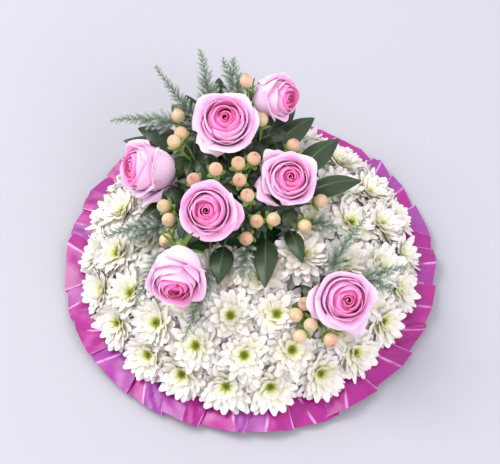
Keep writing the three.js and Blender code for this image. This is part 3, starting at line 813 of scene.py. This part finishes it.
SOFT_PETAL = {"Roughness": 0.6, "Subsurface_Weight": 0.15, "Subsurface_Radius": (1.0, 0.95, 0.8),
              "Subsurface_Scale": 0.0015, "Specular_IOR_Level": 0.3}
WHITE = material("white_petal", white_look, **SOFT_PETAL)
DISC = material("lime_disc", disc_look, Roughness=0.7)


def stem_look(n):
    n.mottled(90, (0.10, 0.20, 0.035), (0.20, 0.32, 0.07))
    n.bump(n.noise(400, stretch=(1, 1, 0.2)), 0.0002)


STEM = material("fresh_stem", stem_look, Roughness=0.5)

# %% [markdown]
# Under its petals each flower has a green cup and a stalk that runs down into the foam.

# %% Build the four rows


def add_bloom_stalk(bm, bloom):
    axis, base = bloom["axis"], bloom["base"]
    add_tube(bm, [base - 13 * axis, base - 4 * axis, base + 4 * axis], (1.0, 1.6), 6, material=3)
    add_tube(bm, [base + 3 * axis, base + 6 * axis, base + 10.4 * axis], (1.8, 5.4), 10, material=3)


for r, row in enumerate(ROWS):
    heads = gathering()
    for bloom in BLOOMS:
        if bloom["row"] != r:
            continue
        walls = walls_of(bloom, BLOOMS)
        for whorl, (count, *_) in enumerate(WHORLS):
            for i in range(count):
                put(heads, white_petal(bloom, walls, whorl, i), keep=False)
        add_disc(heads, bloom)
        add_bloom_stalk(heads, bloom)
    name = f"chrysanthemums_{row['name']}"
    finished(f"{name}_petals", heads, [WHITE, WHITE, DISC, STEM], [name])

# %% [markdown]
# The leaves are ruscus: pointed ovals with a strong midrib, glossy and dark. A blade is arched, folded
# a little along its rib, and its margin waves slightly.

# %% Leaves
LEAVES = [
    ((-20, 52), (-26, 84, 80), (-25, 121, 98), 25), ((-32, 47), (-54, 68, 76), (-90, 82, 82), 24),
    ((-39, 42), (-60, 66, 73), (-102, 76, 73), 21), ((-26, 50), (-40, 84, 76), (-52, 108, 92), 19),
    ((10, 56), (17, 66, 76), (52, 91, 84), 25), ((14, 51), (13, 80, 73), (38, 118, 78), 24),
    ((30, 38), (38, 46, 72), (72, 76, 76), 24), ((29, 20), (46, 26, 73), (88, 34, 76), 22),
    ((10, -2), (12, -18, 73), (11, -66, 78), 21), ((20, 4), (30, -10, 73), (40, -44, 77), 15),
    ((-14, 0), (-20, -26, 74), (-24, -62, 76), 20), ((-48, 20), (-57, 19, 70), (-90, -4, 68), 20),
    ((-8, 56), (-19, 90, 72), (-22, 128, 73), 22), ((-28, 36), (-40, 80, 71), (-64, 112, 74), 24),
]
LEAF_PATCH = closed_patch(12, 22)
SMALL_LEAF_PATCH = closed_patch(8, 12)
LEAF_ARCH, LEAF_STEM, LEAF_THICKNESS = 5, 1.1, 0.7
LEAF_SLIMMER = 0.86


def leaf_blade(start, tip, width, seed, patch):
    """A blade from start to tip. It is widest a little before its middle."""
    start, tip = np.array(start, float), np.array(tip, float)
    run = tip - start
    across = np.array((-run[1], run[0], 0)) / math.hypot(run[0], run[1])
    upward = np.cross(run, across)
    upward = upward / np.linalg.norm(upward)
    if upward[2] < 0:
        upward = -upward
    phase = 6 * draw(seed)

    def form(u, v):
        w = np.clip(v, 0, 1)
        half = 0.5 * width * (np.sin(np.pi * w**0.8) ** 0.8 * (1 - 0.25 * w) * 1.12 + 0.09 * (1 - w))
        line = start + run * v[:, None]
        line[:, 2] += LEAF_ARCH * np.sin(np.pi * w)
        fold = -0.20 * np.abs(half * u) - 0.012 * (half * u) ** 2
        waved = 0.5 * np.sin(9 * v + phase + 1.5 * np.sign(u)) * u * u * np.sin(np.pi * w)
        rib = 0.35 * np.exp(-90 * u * u)
        return line + (half * u)[:, None] * -across + (fold + waved + rib)[:, None] * upward

    return bent(patch, form, LEAF_THICKNESS, shade=draw(seed + 0.5))


def leaf_look(n):
    across, along = n.uv()
    from_rib = n.from_line(across, 0.5)
    rib = n.spread(from_rib, 0.006, 0.035, 1.0, 0.0)
    slant = n.math("SUBTRACT", along, n.times(from_rib, 0.75))
    veins = n.spread(n.math("SINE", n.times(slant, 70.0)), 0.86, 1.0, 0.0, 1.0)
    green = n.mix(n.noise(55, 4), (0.011, 0.027, 0.008), (0.026, 0.054, 0.015))
    light = n.mix(n.times(veins, 0.16), green, (0.07, 0.14, 0.05))
    n.colour(n.mix(n.times(rib, 0.45), light, (0.12, 0.21, 0.07)))
    n.bump(n.math("ADD", n.times(veins, -0.3), n.times(n.noise(200), 0.5)), 0.0004, 0.5)


def leaf_back_look(n):
    n.mottled(60, (0.09, 0.17, 0.06), (0.14, 0.24, 0.09))
    n.bump(n.noise(300), 0.0002)


LEAF = material("ruscus_leaf", leaf_look, Roughness=0.4, Specular_IOR_Level=0.45, Coat_Weight=0.06)
LEAF_BACK = material("ruscus_underside", leaf_back_look, Roughness=0.55)

for i, (foot, start, tip, width) in enumerate(LEAVES):
    bm = gathering()
    put(bm, leaf_blade(start, tip, LEAF_SLIMMER * width, i, LEAF_PATCH), keep=False)
    ahead = Vector(start).lerp(Vector(tip), 0.12)
    ahead.z += 1.2
    add_tube(bm, rounded([*route_to(start, foot), Vector(start), ahead]), (LEAF_STEM, 0.6), 8, material=1)
    finished(f"ruscus_leaf_{i + 1}_blade", bm, [LEAF, LEAF_BACK], [f"ruscus_leaf_{i + 1}"])

# %% [markdown]
# The berry sprigs and the rose stems carry small leaves of their own. They fill the cluster with dark
# green, so that no stem stands bare between the flowers. A leaf is kept only where its tip stays
# inside the cluster, over the flowers that the cluster covers. It grows on a sprig or a stem, so it is
# part of that piece, and its two materials come after the piece's first two.

# %% Small leaves on sprigs and stems
CLUSTER_MIDDLE, CLUSTER_REACH = Vector((-12, 30, 0)), 62
SINGLE_MIDDLE, SINGLE_REACH = Vector((50, -78, 0)), 30
SMALL_LEAVES = 8


def add_small_leaves(bm, centre, length, width, rise, seed, middle=CLUSTER_MIDDLE, reach=CLUSTER_REACH):
    """Adds a ring of leaves round a centre. They rise to their tips by about as much as it says."""
    for k in range(SMALL_LEAVES):
        angle = 2 * math.pi * (k + between(-0.3, 0.3, seed + k)) / SMALL_LEAVES + seed
        out = round_axis(1, angle, 0)
        size = length * between(0.8, 1.15, seed + 2 * k)
        start = Vector(centre) + 1.5 * out
        tip = start + size * out + Vector((0, 0, rise * between(0.3, 1.6, seed + 3 * k)))
        if (Vector((tip.x, tip.y, 0)) - middle).length > reach:
            continue
        blade = leaf_blade(start, tip, width * between(0.85, 1.1, seed + 4 * k), seed + k, SMALL_LEAF_PATCH)
        sides = np.empty(len(blade.polygons), np.int32)
        blade.polygons.foreach_get("material_index", sides)
        blade.polygons.foreach_set("material_index", sides + 2)
        put(bm, blade, keep=False)


# %% [markdown]
# A rose opens in a spiral. Each new petal stands a golden angle on from the one outside it and a little
# nearer the middle, so no two line up: broad outer petals whose lips roll back, then tighter ones, and
# a rolled heart. A petal's profile is a curve over four points from its base to its lip, as radius and
# height, and the tables say how those change along the spiral.

# %% Rose petals
ROSE_PATCH = closed_patch(10, 14)
ROSE_HEIGHT = 40
ROSE_THICKNESS = 0.55
ROSE_PETALS = 19
# Along the spiral: the petal's number, and what it has there, from the outermost petal to the heart
SPIRAL = (0, 4, 5, 8, 9, 11, 12, 14, 15, 18)
LIP_RADIUS = (19.0, 17.2, 15.2, 13.6, 11.4, 9.8, 7.6, 6.2, 4.4, 1.2)
LIP_HEIGHT = (31.0, 34.6, 36.2, 37.6, 38.2, 38.8, 38.8, 38.6, 38.2, 37.2)
BELLY = (22.5, 21.0, 20.5, 18.5, 18.0, 16.5, 14.5, 13.0, 10.0, 2.4)
SHOULDER = (15.5, 15.2, 16.6, 15.8, 16.4, 15.0, 14.2, 13.2, 11.2, 2.4)
SPREAD = (64, 58, 68, 62, 74, 70, 80, 84, 96, 130)
ROLL = (3.6, 2.8, 2.2, 1.6, 1.2, 1.0, 0.7, 0.6, 0.3, 0.1)
DROP = (8.0, 6.5, 6.0, 5.2, 4.4, 3.8, 3.2, 2.8, 2.2, 1.0)


def rose_petal(k, seed, openness, depth, packed=False):
    tables = (LIP_RADIUS, LIP_HEIGHT, BELLY, SHOULDER, SPREAD, ROLL, DROP)
    lip_radius, lip_height, belly, shoulder, spread, roll, drop = (
        float(np.interp(k, SPIRAL, row)) for row in tables)
    if packed:
        lip_radius, lip_height, roll = lip_radius - PACKED_IN, lip_height - PACKED_DOWN, 0
        belly, shoulder = PACKED_BODY * belly, PACKED_BODY * shoulder
    share = k / (ROSE_PETALS - 1)
    turn = k * GOLDEN_ANGLE + seed + between(-0.14, 0.14, seed + k)
    spread = math.radians(spread) * between(0.93, 1.07, seed + k + 0.5)
    lift = between(-1.8, 1.8, seed + 5 * k) * (1 - 0.5 * share)
    lean = between(-0.9, 0.9, seed + 9 * k) * (1 - 0.6 * share)
    point = between(0.8, 4.0, seed + 7 * k) * (1 - share) ** 1.5
    wave = between(0.2, 0.7, seed + 3 * k) * (1 - share)
    profile = [
        (4.2 - 3 * share, 2 + 6 * share),
        (0.88 * belly, 3.5 + 10 * share),
        (shoulder, 22 + 14 * share),
        (lip_radius, lip_height),
    ]

    def form(u, v):
        w = np.clip(v, -0.01, 1.01)
        curve = bezier(profile, w)
        radius, height = curve[:, 0], curve[:, 1]
        high = smoothstep(0.45, 1, w)
        radius = radius * (1 + (openness - 1) * high) + 0.6 * u * w + lean * high
        height = height + lift * w * w - drop * np.abs(u) ** 2.3 * w * w
        rolled = smoothstep(0.76, 1, w) ** 1.4 * (1 - share + share * (1 - 0.4 * u * u))
        tip = np.exp(-9 * u * u) * point * smoothstep(0.6, 1, w)
        radius = radius + roll * rolled + 0.7 * tip
        height = height - 0.8 * roll * rolled * rolled + 0.5 * tip
        radius = radius + wave * np.sin(5.3 * u + seed + 3 * k) * high
        height = height + 0.8 * wave * np.sin(4.1 * u + 2 * seed + k) * high
        rounding = 1 - 0.22 * (1 - share) * smoothstep(0.7, 1, w) ** 2
        angle = turn + u * spread * (0.42 + 0.58 * smoothstep(0, 0.75, w)) * rounding
        return np.stack([radius * np.cos(angle), radius * np.sin(angle), height], 1)

    return bent(ROSE_PATCH, form, ROSE_THICKNESS, heart=share, shade=depth)


# Shorter petals are packed between the long ones, so the grooves between the lips aren't deep
PACKED = range(3, 16)
PACKED_IN, PACKED_DOWN, PACKED_BODY = 1.6, 3.6, 0.93

# Some roses have let go of one or two guard petals: lower, with a longer tip, bent well outwards
GUARD_PROFILE = [(4.4, 1), (21.5, 2.5), (18.5, 20), (22.0, 27)]
GUARD_SPREAD, GUARD_ROLL, GUARD_TIP, GUARD_DROP = math.radians(46), 3.4, 4.2, 9


def guard_petal(degrees, seed, depth):
    turn, wave = math.radians(degrees), between(0.4, 0.9, seed)

    def form(u, v):
        w = np.clip(v, -0.01, 1.01)
        curve = bezier(GUARD_PROFILE, w)
        high = smoothstep(0.45, 1, w)
        rolled = smoothstep(0.68, 1, w) ** 1.4
        tip = GUARD_TIP * np.exp(-6 * u * u) * smoothstep(0.6, 1, w)
        radius = curve[:, 0] + GUARD_ROLL * rolled + 0.8 * tip + wave * np.sin(5 * u + seed) * high
        height = curve[:, 1] - GUARD_DROP * np.abs(u) ** 2.2 * w * w
        height = height - 0.9 * GUARD_ROLL * rolled * rolled + 0.3 * tip
        rounding = 1 - 0.5 * smoothstep(0.55, 1, w) ** 2
        angle = turn + u * GUARD_SPREAD * (0.5 + 0.5 * smoothstep(0, 0.6, w)) * rounding
        return np.stack([radius * np.cos(angle), radius * np.sin(angle), height], 1)

    return bent(ROSE_PATCH, form, ROSE_THICKNESS, heart=0.0, shade=depth)


# Pinks from the outermost petal to the heart, on the inner and the outer side of the petals
PINK_PLACES = (0.0, 0.3, 0.5, 0.66, 1.0)
INSIDE_PINKS = ((0.92, 0.64, 0.82), (0.93, 0.54, 0.77), (0.94, 0.36, 0.67),
                (0.94, 0.17, 0.49), (0.92, 0.05, 0.32))
OUTSIDE_PINKS = ((0.91, 0.70, 0.85), (0.93, 0.60, 0.80), (0.94, 0.42, 0.71),
                 (0.94, 0.20, 0.52), (0.92, 0.07, 0.34))


def rose_look(pinks):
    def recipe(n):
        across, along = n.uv()
        heart = n.attribute("heart")
        deep = n.ramp(heart, list(zip(PINK_PLACES, pinks)))
        # The lips of the outer petals are painted paler: a painted highlight where the rolled lips catch
        # the light.
        lips = n.times(n.spread(along, 0.72, 1.0, 0.0, 0.62), n.spread(heart, 0.3, 0.75, 1.0, 0.1))
        pale = n.mix(lips, deep, (0.90, 0.68, 0.82))
        tinted = n.mix(n.times(n.attribute("shade"), 0.4), pale, (0.93, 0.30, 0.62))
        claw = n.spread(along, 0.0, 0.3, 0.7, 0.0)
        based = n.mix(claw, tinted, (0.93, 0.74, 0.70))
        veined = n.grain(across, 26.0, along, 2.5, 4.0)
        n.colour(n.mix(n.times(veined, 0.14), based, (0.93, 0.66, 0.84)))
        n.bump(veined, 0.0004, 0.35)
    return recipe


VELVET = {"Roughness": 0.5, "Subsurface_Weight": 0.15, "Subsurface_Radius": (1.0, 0.6, 0.8),
          "Subsurface_Scale": 0.0015, "Sheen_Weight": 0.2, "Specular_IOR_Level": 0.35}
ROSE_INSIDE = material("rose_inside", rose_look(INSIDE_PINKS), **VELVET)
ROSE_OUTSIDE = material("rose_outside", rose_look(OUTSIDE_PINKS), **VELVET)

# %% [markdown]
# The green part of a rose is the hip, five narrow sepals that curl back under the flower, and the stem.
# A head faces along its axis, and its stem leaves it the other way, bends, and runs down to the foam.

# %% Build the roses
# name, middle of the head, the way it faces, foot in the foam, size, how far open, depth of its pink,
# the guard petals' directions, and its turn round its own axis
ROSES = [
    ("top", (-19, 62, 112), (0, -0.3, 0.95), (-14, 46), 1.04, 1.12, 0.15, (232,), 0),
    ("back", (19, 99, 100), (0.78, -0.42, 0.42), (0, 54), 0.92, 0.95, 0.45, (), 0),
    ("left", (-78, 37, 88), (-0.85, -0.25, 0.45), (-44, 30), 1.06, 1.02, 0.3, (250,), 0),
    ("middle", (-31, -12, 102), (-0.1, -0.55, 0.8), (-26, 8), 1, 1.02, 0.9, (345,), 0),
    ("right", (29, 20, 96), (0.12, -0.42, 0.9), (20, 28), 1, 0.95, 0.35, (128, 212), 0),
    ("front", (-54, -64, 96), (-0.04, -0.95, 0.22), (-42, -6), 1.1, 0.92, 0.2, (), 144),
    ("single", (69, -76, 81), (0.16, -0.6, 0.76), (62, -55), 1.04, 0.95, 0.6, (196, 300), 0),
]
NECK, STRAIGHT, ROSE_STEM = 7, 9, 2.2
# The rose's small leaves grow this far below the middle of its head
LEAVES_BELOW = 34
SEPAL_PATCH, SEPAL_THICKNESS = closed_patch(4, 8), 0.5
HIP_WIDTH, HIP_HEIGHT = 4.9, 4.6


def sepal(turn, seed):
    length, width = between(17, 22, seed), 4.6
    curl = between(0.2, 0.9, seed + 1)

    def form(u, v):
        # Known fault: a little past the tip, 1 - v is below 0 and its power isn't a number, so the
        # tip's points are lost and the export puts them at the origin.
        half = 0.5 * width * (1 - v) ** 0.7 * (0.75 + 0.5 * v)
        radial = 3.6 + length * (0.62 * v + 0.2 * v * v)
        lift = -3.4 - 3.2 * np.sin(2.4 * v) * curl + 1.2 * v * v
        lift = lift + 0.25 * half * u * u
        return turned(turn, radial, half * u, lift)

    return bent(SEPAL_PATCH, form, SEPAL_THICKNESS)


HIP = ball_mesh("hip", 16, 10, (HIP_WIDTH, HIP_WIDTH, HIP_HEIGHT), lowered=HIP_HEIGHT)

for i, (name, at, facing, foot, size, openness, depth, guards, spin) in enumerate(ROSES):
    seed, axis = 1.7 * i, Vector(facing).normalized()
    base = Vector(at) - 0.5 * ROSE_HEIGHT * size * axis
    place = Matrix.Translation(base) @ shortest_turn(axis) @ Matrix.Scale(size, 4)
    place = place @ Matrix.Rotation(math.radians(spin), 4, "Z")
    petals = [rose_petal(k, seed, openness, depth) for k in range(ROSE_PETALS)]
    petals += [rose_petal(k, seed + 29, openness, depth, packed=True) for k in PACKED]
    petals += [guard_petal(degrees, seed, depth) for degrees in guards]
    head = gathering()
    for petal in petals:
        put(head, petal, place, keep=False)
    finished(f"rose_{name}_petals", head, [ROSE_OUTSIDE, ROSE_INSIDE], [f"rose_{name}"])
    green = gathering()
    put(green, HIP, place)
    for k in range(5):
        put(green, sepal(2 * math.pi * k / 5 + seed, seed + k), place, keep=False)
    back = base - NECK * size * axis
    bend = back - STRAIGHT * axis
    route = [p for p in route_to(bend, foot) if (p - bend).length > STRAIGHT / 2]
    path = [*route, bend.lerp(route[-1], 0.25), back]
    add_tube(green, rounded(path), (ROSE_STEM * 0.9, ROSE_STEM), 10)
    if name != "single":
        leaves_at = Vector(at) - LEAVES_BELOW * axis
        add_small_leaves(green, leaves_at, length=27, width=14, rise=5, seed=3.7 * i + 0.9)
    finished(f"rose_{name}_green", green, [STEM, STEM, LEAF, LEAF_BACK], [f"rose_{name}_stem"])

# %% [markdown]
# A berry is an egg-shaped fruit with a tiny dried tip. It sits in five rounded sepals at the end of a
# thin branch. The skin is peach, paler towards the sepals, with a soft blush and a waxy shine.

# %% Berries
SPRIGS = [
    ("left_back", (-34, 40), [(-57, 82, 98), (-54, 60, 104), (-59, 49, 108)]),
    ("back", (8, 48), [(-3, 103, 116), (9, 73, 105)]),
    ("centre", (-5, 34), [(3, 31, 110), (-9, 25, 112), (-8, 12, 108)]),
    ("middle", (-28, 28), [(-26, 18, 114), (-43, 14, 106)]),
    ("front", (2, 8), [(5, -15, 92), (18, -14, 93), (-3, -27, 86), (-2, 0, 105)]),
    ("left", (-46, 12), [(-66, -1, 92), (-62, -13, 91), (-64, -26, 82)]),
    ("right", (26, 15), [(55, 8, 86), (42, -13, 82)]),
    ("right_back", (22, 46), [(34, 56, 94)]),
    ("single", (53, -68), [(41, -76, 72), (34, -84, 69), (45, -92, 68), (37, -98, 61), (60, -101, 61)]),
]
BERRY_RADIUS, BERRY_HALF, BERRY_STEM = 5.4, 6.1, 1.3
TIP_STARTS = 0.93


def fruit_mesh():
    bm = bmesh.new()
    bm.loops.layers.uv.new("UVMap")
    bmesh.ops.create_uvsphere(bm, u_segments=20, v_segments=16, radius=1, calc_uvs=True)
    for vert in bm.verts:
        x, y, z = vert.co
        wide = BERRY_RADIUS * (1 - 0.16 * max(z, 0) ** 2)
        tip = max(z - TIP_STARTS, 0) * 7
        vert.co = (x * wide, y * wide, BERRY_HALF * z - 0.4 + 1.4 * tip)
    return mesh_from(bm, "fruit", smooth=True)


def berry_sepal(turn, seed):
    def form(u, v):
        half = 2.3 * np.sqrt(np.clip(1 - (1.5 * v - 0.55) ** 2, 0.02, 1)) * (1 - 0.35 * v * v)
        radial = 1.4 + 7.2 * v * (1 - 0.12 * v)
        lift = -6.9 + 2.6 * v * v + between(-0.8, 0.5, seed) * v - 0.3 * u * u
        return turned(turn, radial, half * u, lift)

    return in_material(bent(SEPAL_PATCH, form, SEPAL_THICKNESS), 1)


PEACH = [(0.0, (0.60, 0.56, 0.24)), (0.22, (0.70, 0.50, 0.27)), (0.6, (0.66, 0.42, 0.26)),
         (0.9, (0.54, 0.24, 0.15)), (0.975, (0.10, 0.035, 0.02))]


def berry_look(n):
    _, along = n.uv()
    spotted = n.mix(n.times(n.noise(180, 5), 0.4), n.ramp(along, PEACH), (0.74, 0.57, 0.38))
    unripe = n.spread(n.noise(26, 1), 0.4, 0.62, 0.0, 0.55)
    n.colour(n.mix(unripe, spotted, (0.60, 0.54, 0.30)))


BERRY = material("berry_skin", berry_look, Roughness=0.32, Coat_Weight=0.15, Subsurface_Weight=0.3,
                 Subsurface_Radius=(1.0, 0.5, 0.3), Subsurface_Scale=0.002)


def sepal_look(n):
    n.mottled(120, (0.10, 0.24, 0.03), (0.26, 0.42, 0.08))


SEPAL = material("berry_sepal", sepal_look, Roughness=0.5)
FRUIT = fruit_mesh()

for n, (name, foot, berries) in enumerate(SPRIGS):
    bm = gathering()
    middle = sum((Vector(b) for b in berries), Vector()) / len(berries)
    path = route_to(middle, foot)
    fork = path[2].lerp(path[1], 0.15)
    add_tube(bm, path, (BERRY_STEM, BERRY_STEM * 0.9), 8, material=1)
    for k, berry in enumerate(berries):
        berry = Vector(berry)
        along = (berry - fork).normalized()
        axis = along.lerp(Vector((0, -0.3, 0.9)), 0.35).normalized()
        place = Matrix.Translation(berry) @ shortest_turn(axis)
        put(bm, FRUIT, place)
        for s in range(5):
            put(bm, berry_sepal(2 * math.pi * s / 5 + k, k + 5 * s + foot[0]), place, keep=False)
        seat = berry - 6.6 * axis
        branch = rounded([fork - 1.5 * along, fork.lerp(seat, 0.5), seat - 3 * axis, seat])
        add_tube(bm, branch, (0.9, 0.8), 7, material=1)
    if name == "single":
        add_small_leaves(bm, fork, 19, 8.5, 3, 5.3 * n, SINGLE_MIDDLE, SINGLE_REACH)
    else:
        add_small_leaves(bm, fork, length=27, width=13, rise=4, seed=5.3 * n)
        add_small_leaves(bm, fork.lerp(middle, 0.35), length=22, width=11, rise=6, seed=5.3 * n + 2.1)
    finished(f"berries_{name}_fruit", bm, [BERRY, SEPAL, LEAF, LEAF_BACK], [f"berries_{name}"])

# %% [markdown]
# The fern is the feathery kind: a wiry stem with short side twigs, and each twig is set with tufts of
# needles. One twig is made once, with 3-sided needles, and placed many times. The twigs shorten
# towards the tip, and their ends are paler.

# %% Fern
FERNS = [
    ("left_back", (-28, 43), [((-34, 70, 84), (-58, 98, 104), (-76, 120, 114))]),
    ("top_left", (-22, 44), [((-33, 90, 95), (-34, 108, 116), (-40, 131, 122))]),
    ("top", (-4, 45), [((-8, 92, 100), (-15, 106, 112), (-22, 124, 120)),
                       ((-8, 92, 100), (-14, 110, 113), (-13, 123, 121))]),
    ("left", (-38, 34), [((-58, 78, 92), (-86, 84, 96), (-112, 84, 89))]),
    ("left_front", (-50, 4), [((-66, -6, 73), (-92, -8, 76), (-114, -16, 70)),
                              ((-66, -6, 73), (-82, -16, 77), (-93, -22, 76))]),
    ("front_left", (-48, -14), [((-60, -28, 73), (-78, -50, 73), (-84, -72, 71))]),
    ("front", (-30, -10), [((-31, -44, 75), (-38, -78, 73), (-50, -104, 64))]),
    ("inner", (-6, -8), [((-4, -26, 75), (-4, -44, 80), (-6, -58, 78))]),
    ("right", (26, 8), [((48, -5, 75.2), (58, -8, 80), (68, -14, 80))]),
    ("single_left", (60, -50), [((60, -44, 68), (72, -24, 74), (90, -2, 80))]),
    ("single_right", (67, -54), [((84, -52, 68), (102, -46, 70), (120, -40, 68)),
                                 ((84, -52, 68), (98, -56, 70), (108, -62, 68))]),
]
TWIG_LENGTH, TWIG_EVERY, FERN_STEM = 12.5, 1.1, 1.0
TUFTS, NEEDLES = 8, 7
NEEDLE_RADIUS, NEEDLE_LENGTH = 0.32, 4.2
FROND_STEPS = 60
# The twig is made this long along +Z, and sized where it is placed
MODEL_TWIG = 10


def needle_mesh(length):
    bm = bmesh.new()
    bmesh.ops.create_cone(bm, cap_ends=True, segments=3, radius1=NEEDLE_RADIUS, radius2=0, depth=length)
    bmesh.ops.translate(bm, vec=(0, 0, length / 2), verts=bm.verts[:])
    bmesh.ops.remove_doubles(bm, verts=bm.verts[:], dist=1e-5)
    return mesh_from(bm, "needle")


def twig_mesh():
    needle = needle_mesh(NEEDLE_LENGTH)
    bm = bmesh.new()
    bm.verts.layers.float.new("heart")
    put(bm, marked(needle_mesh(MODEL_TWIG), heart=0.2), keep=False)
    for tuft in range(TUFTS):
        share = (tuft + 0.6) / TUFTS
        for k in range(NEEDLES):
            seed = 10 * tuft + k
            around = 2 * math.pi * k / NEEDLES + 0.8 * tuft + between(-0.3, 0.3, seed)
            lean = between(0.5, 0.95, seed + 0.5) * (1 - 0.35 * share)
            turn = Matrix.Rotation(around, 4, "Z") @ Matrix.Rotation(lean, 4, "Y")
            size = between(0.75, 1.1, seed + 0.7) * (1.05 - 0.35 * share)
            place = Matrix.Translation((0, 0, MODEL_TWIG * share)) @ turn @ Matrix.Scale(size, 4)
            put(bm, marked(needle, heart=share), place, keep=False)
    return in_material(mesh_from(bm, "twig"), 0)


FERN_GREENS = [(0.0, (0.15, 0.21, 0.13)), (0.45, (0.35, 0.42, 0.34)), (1.0, (0.72, 0.77, 0.72))]


def fern_look(n):
    green = n.ramp(n.attribute("heart"), FERN_GREENS)
    n.colour(n.mix(n.times(n.noise(70), 0.5), green, (0.28, 0.37, 0.26)))


FERN = material("feather_fern", fern_look, Roughness=0.6)
TWIG = twig_mesh()


def add_frond(bm, frond, seed):
    start, middle, tip = (Vector(p) for p in frond)
    steps = FROND_STEPS
    places = [i / steps for i in range(steps + 1)]
    points = [start * (1 - t) ** 2 + 2 * middle * t * (1 - t) + tip * t * t for t in places]
    length = sum((b - a).length for a, b in zip(points, points[1:]))
    add_tube(bm, points[::5], (0.75, 0.25), 6)
    twigs = int(length / TWIG_EVERY)
    for w in range(twigs):
        t = 0.03 + 0.95 * w / twigs
        i = min(int(t * steps), steps - 1)
        ahead = (points[i + 1] - points[i]).normalized()
        at = points[i].lerp(points[i + 1], t * steps - i)
        side = Vector((0, 0, 1)).cross(ahead).normalized()
        up = ahead.cross(side)
        round_it = seed + 2.4 * w
        out = (side * math.cos(round_it) + up * 0.75 * math.sin(round_it)).normalized()
        reach = TWIG_LENGTH * (1 - 0.74 * t) * between(0.8, 1.12, seed + 3 * w)
        heading = (0.72 * out + 0.62 * ahead).normalized()
        put(bm, TWIG, along_axis(heading, at, 1.3 * w) @ Matrix.Scale(reach / MODEL_TWIG, 4))


for n, (name, foot, fronds) in enumerate(FERNS):
    bm = gathering()
    start, middle = Vector(fronds[0][0]), Vector(fronds[0][1])
    add_tube(bm, rounded([*route_to(start, foot), start, start.lerp(middle, 0.2)]), (FERN_STEM, 0.7), 7)
    for i, frond in enumerate(fronds):
        add_frond(bm, frond, n + 3 * i)
    finished(f"fern_{name}_fronds", bm, [FERN], [f"fern_{name}"])

# %% [markdown]
# The studio is a pale floor that runs out of the picture, a large soft light above and to the left, a
# weaker one from the right, and a pale sky that fills the shadows.

# %% Floor and light


FLOOR_REACH = 6
LIT_SPOT = Vector((0, 0, 0.05))
SKY_COLOUR, SKY_STRENGTH = (0.90, 0.90, 1.0, 1), 1.16


def floor_look(n):
    n.mottled(3, (0.43, 0.43, 0.455), (0.445, 0.44, 0.47))


floor_bm = bmesh.new()
bmesh.ops.create_grid(floor_bm, x_segments=2, y_segments=2, size=FLOOR_REACH)
floor_mesh = mesh_from(floor_bm, "floor")
floor_mesh.materials.append(material("pale_floor", floor_look, Roughness=0.8))
floor = bpy.data.objects.new("floor", floor_mesh)
bpy.context.scene.collection.objects.link(floor)


def soft_light(name, place, size, power, colour):
    data = bpy.data.lights.new(name, "AREA")
    data.shape = "DISK"
    data.size = size
    data.energy = power
    data.color = colour
    light = bpy.data.objects.new(name, data)
    light.location = place
    light.rotation_euler = (LIT_SPOT - Vector(place)).to_track_quat("-Z", "Y").to_euler()
    bpy.context.scene.collection.objects.link(light)


soft_light("key", (-1.3, 0.5, 1.7), size=1.4, power=36, colour=(1.0, 0.985, 0.97))
soft_light("fill", (1.3, -1.6, 1.5), size=1.6, power=25, colour=(1.0, 0.98, 0.98))

world = bpy.data.worlds.new("studio")
world.use_nodes = True
sky = world.node_tree.nodes["Background"]
sky.inputs["Color"].default_value = SKY_COLOUR
sky.inputs["Strength"].default_value = SKY_STRENGTH
bpy.context.scene.world = world
bpy.context.scene.view_settings.view_transform = "Standard"
print("lights: key, fill and sky")
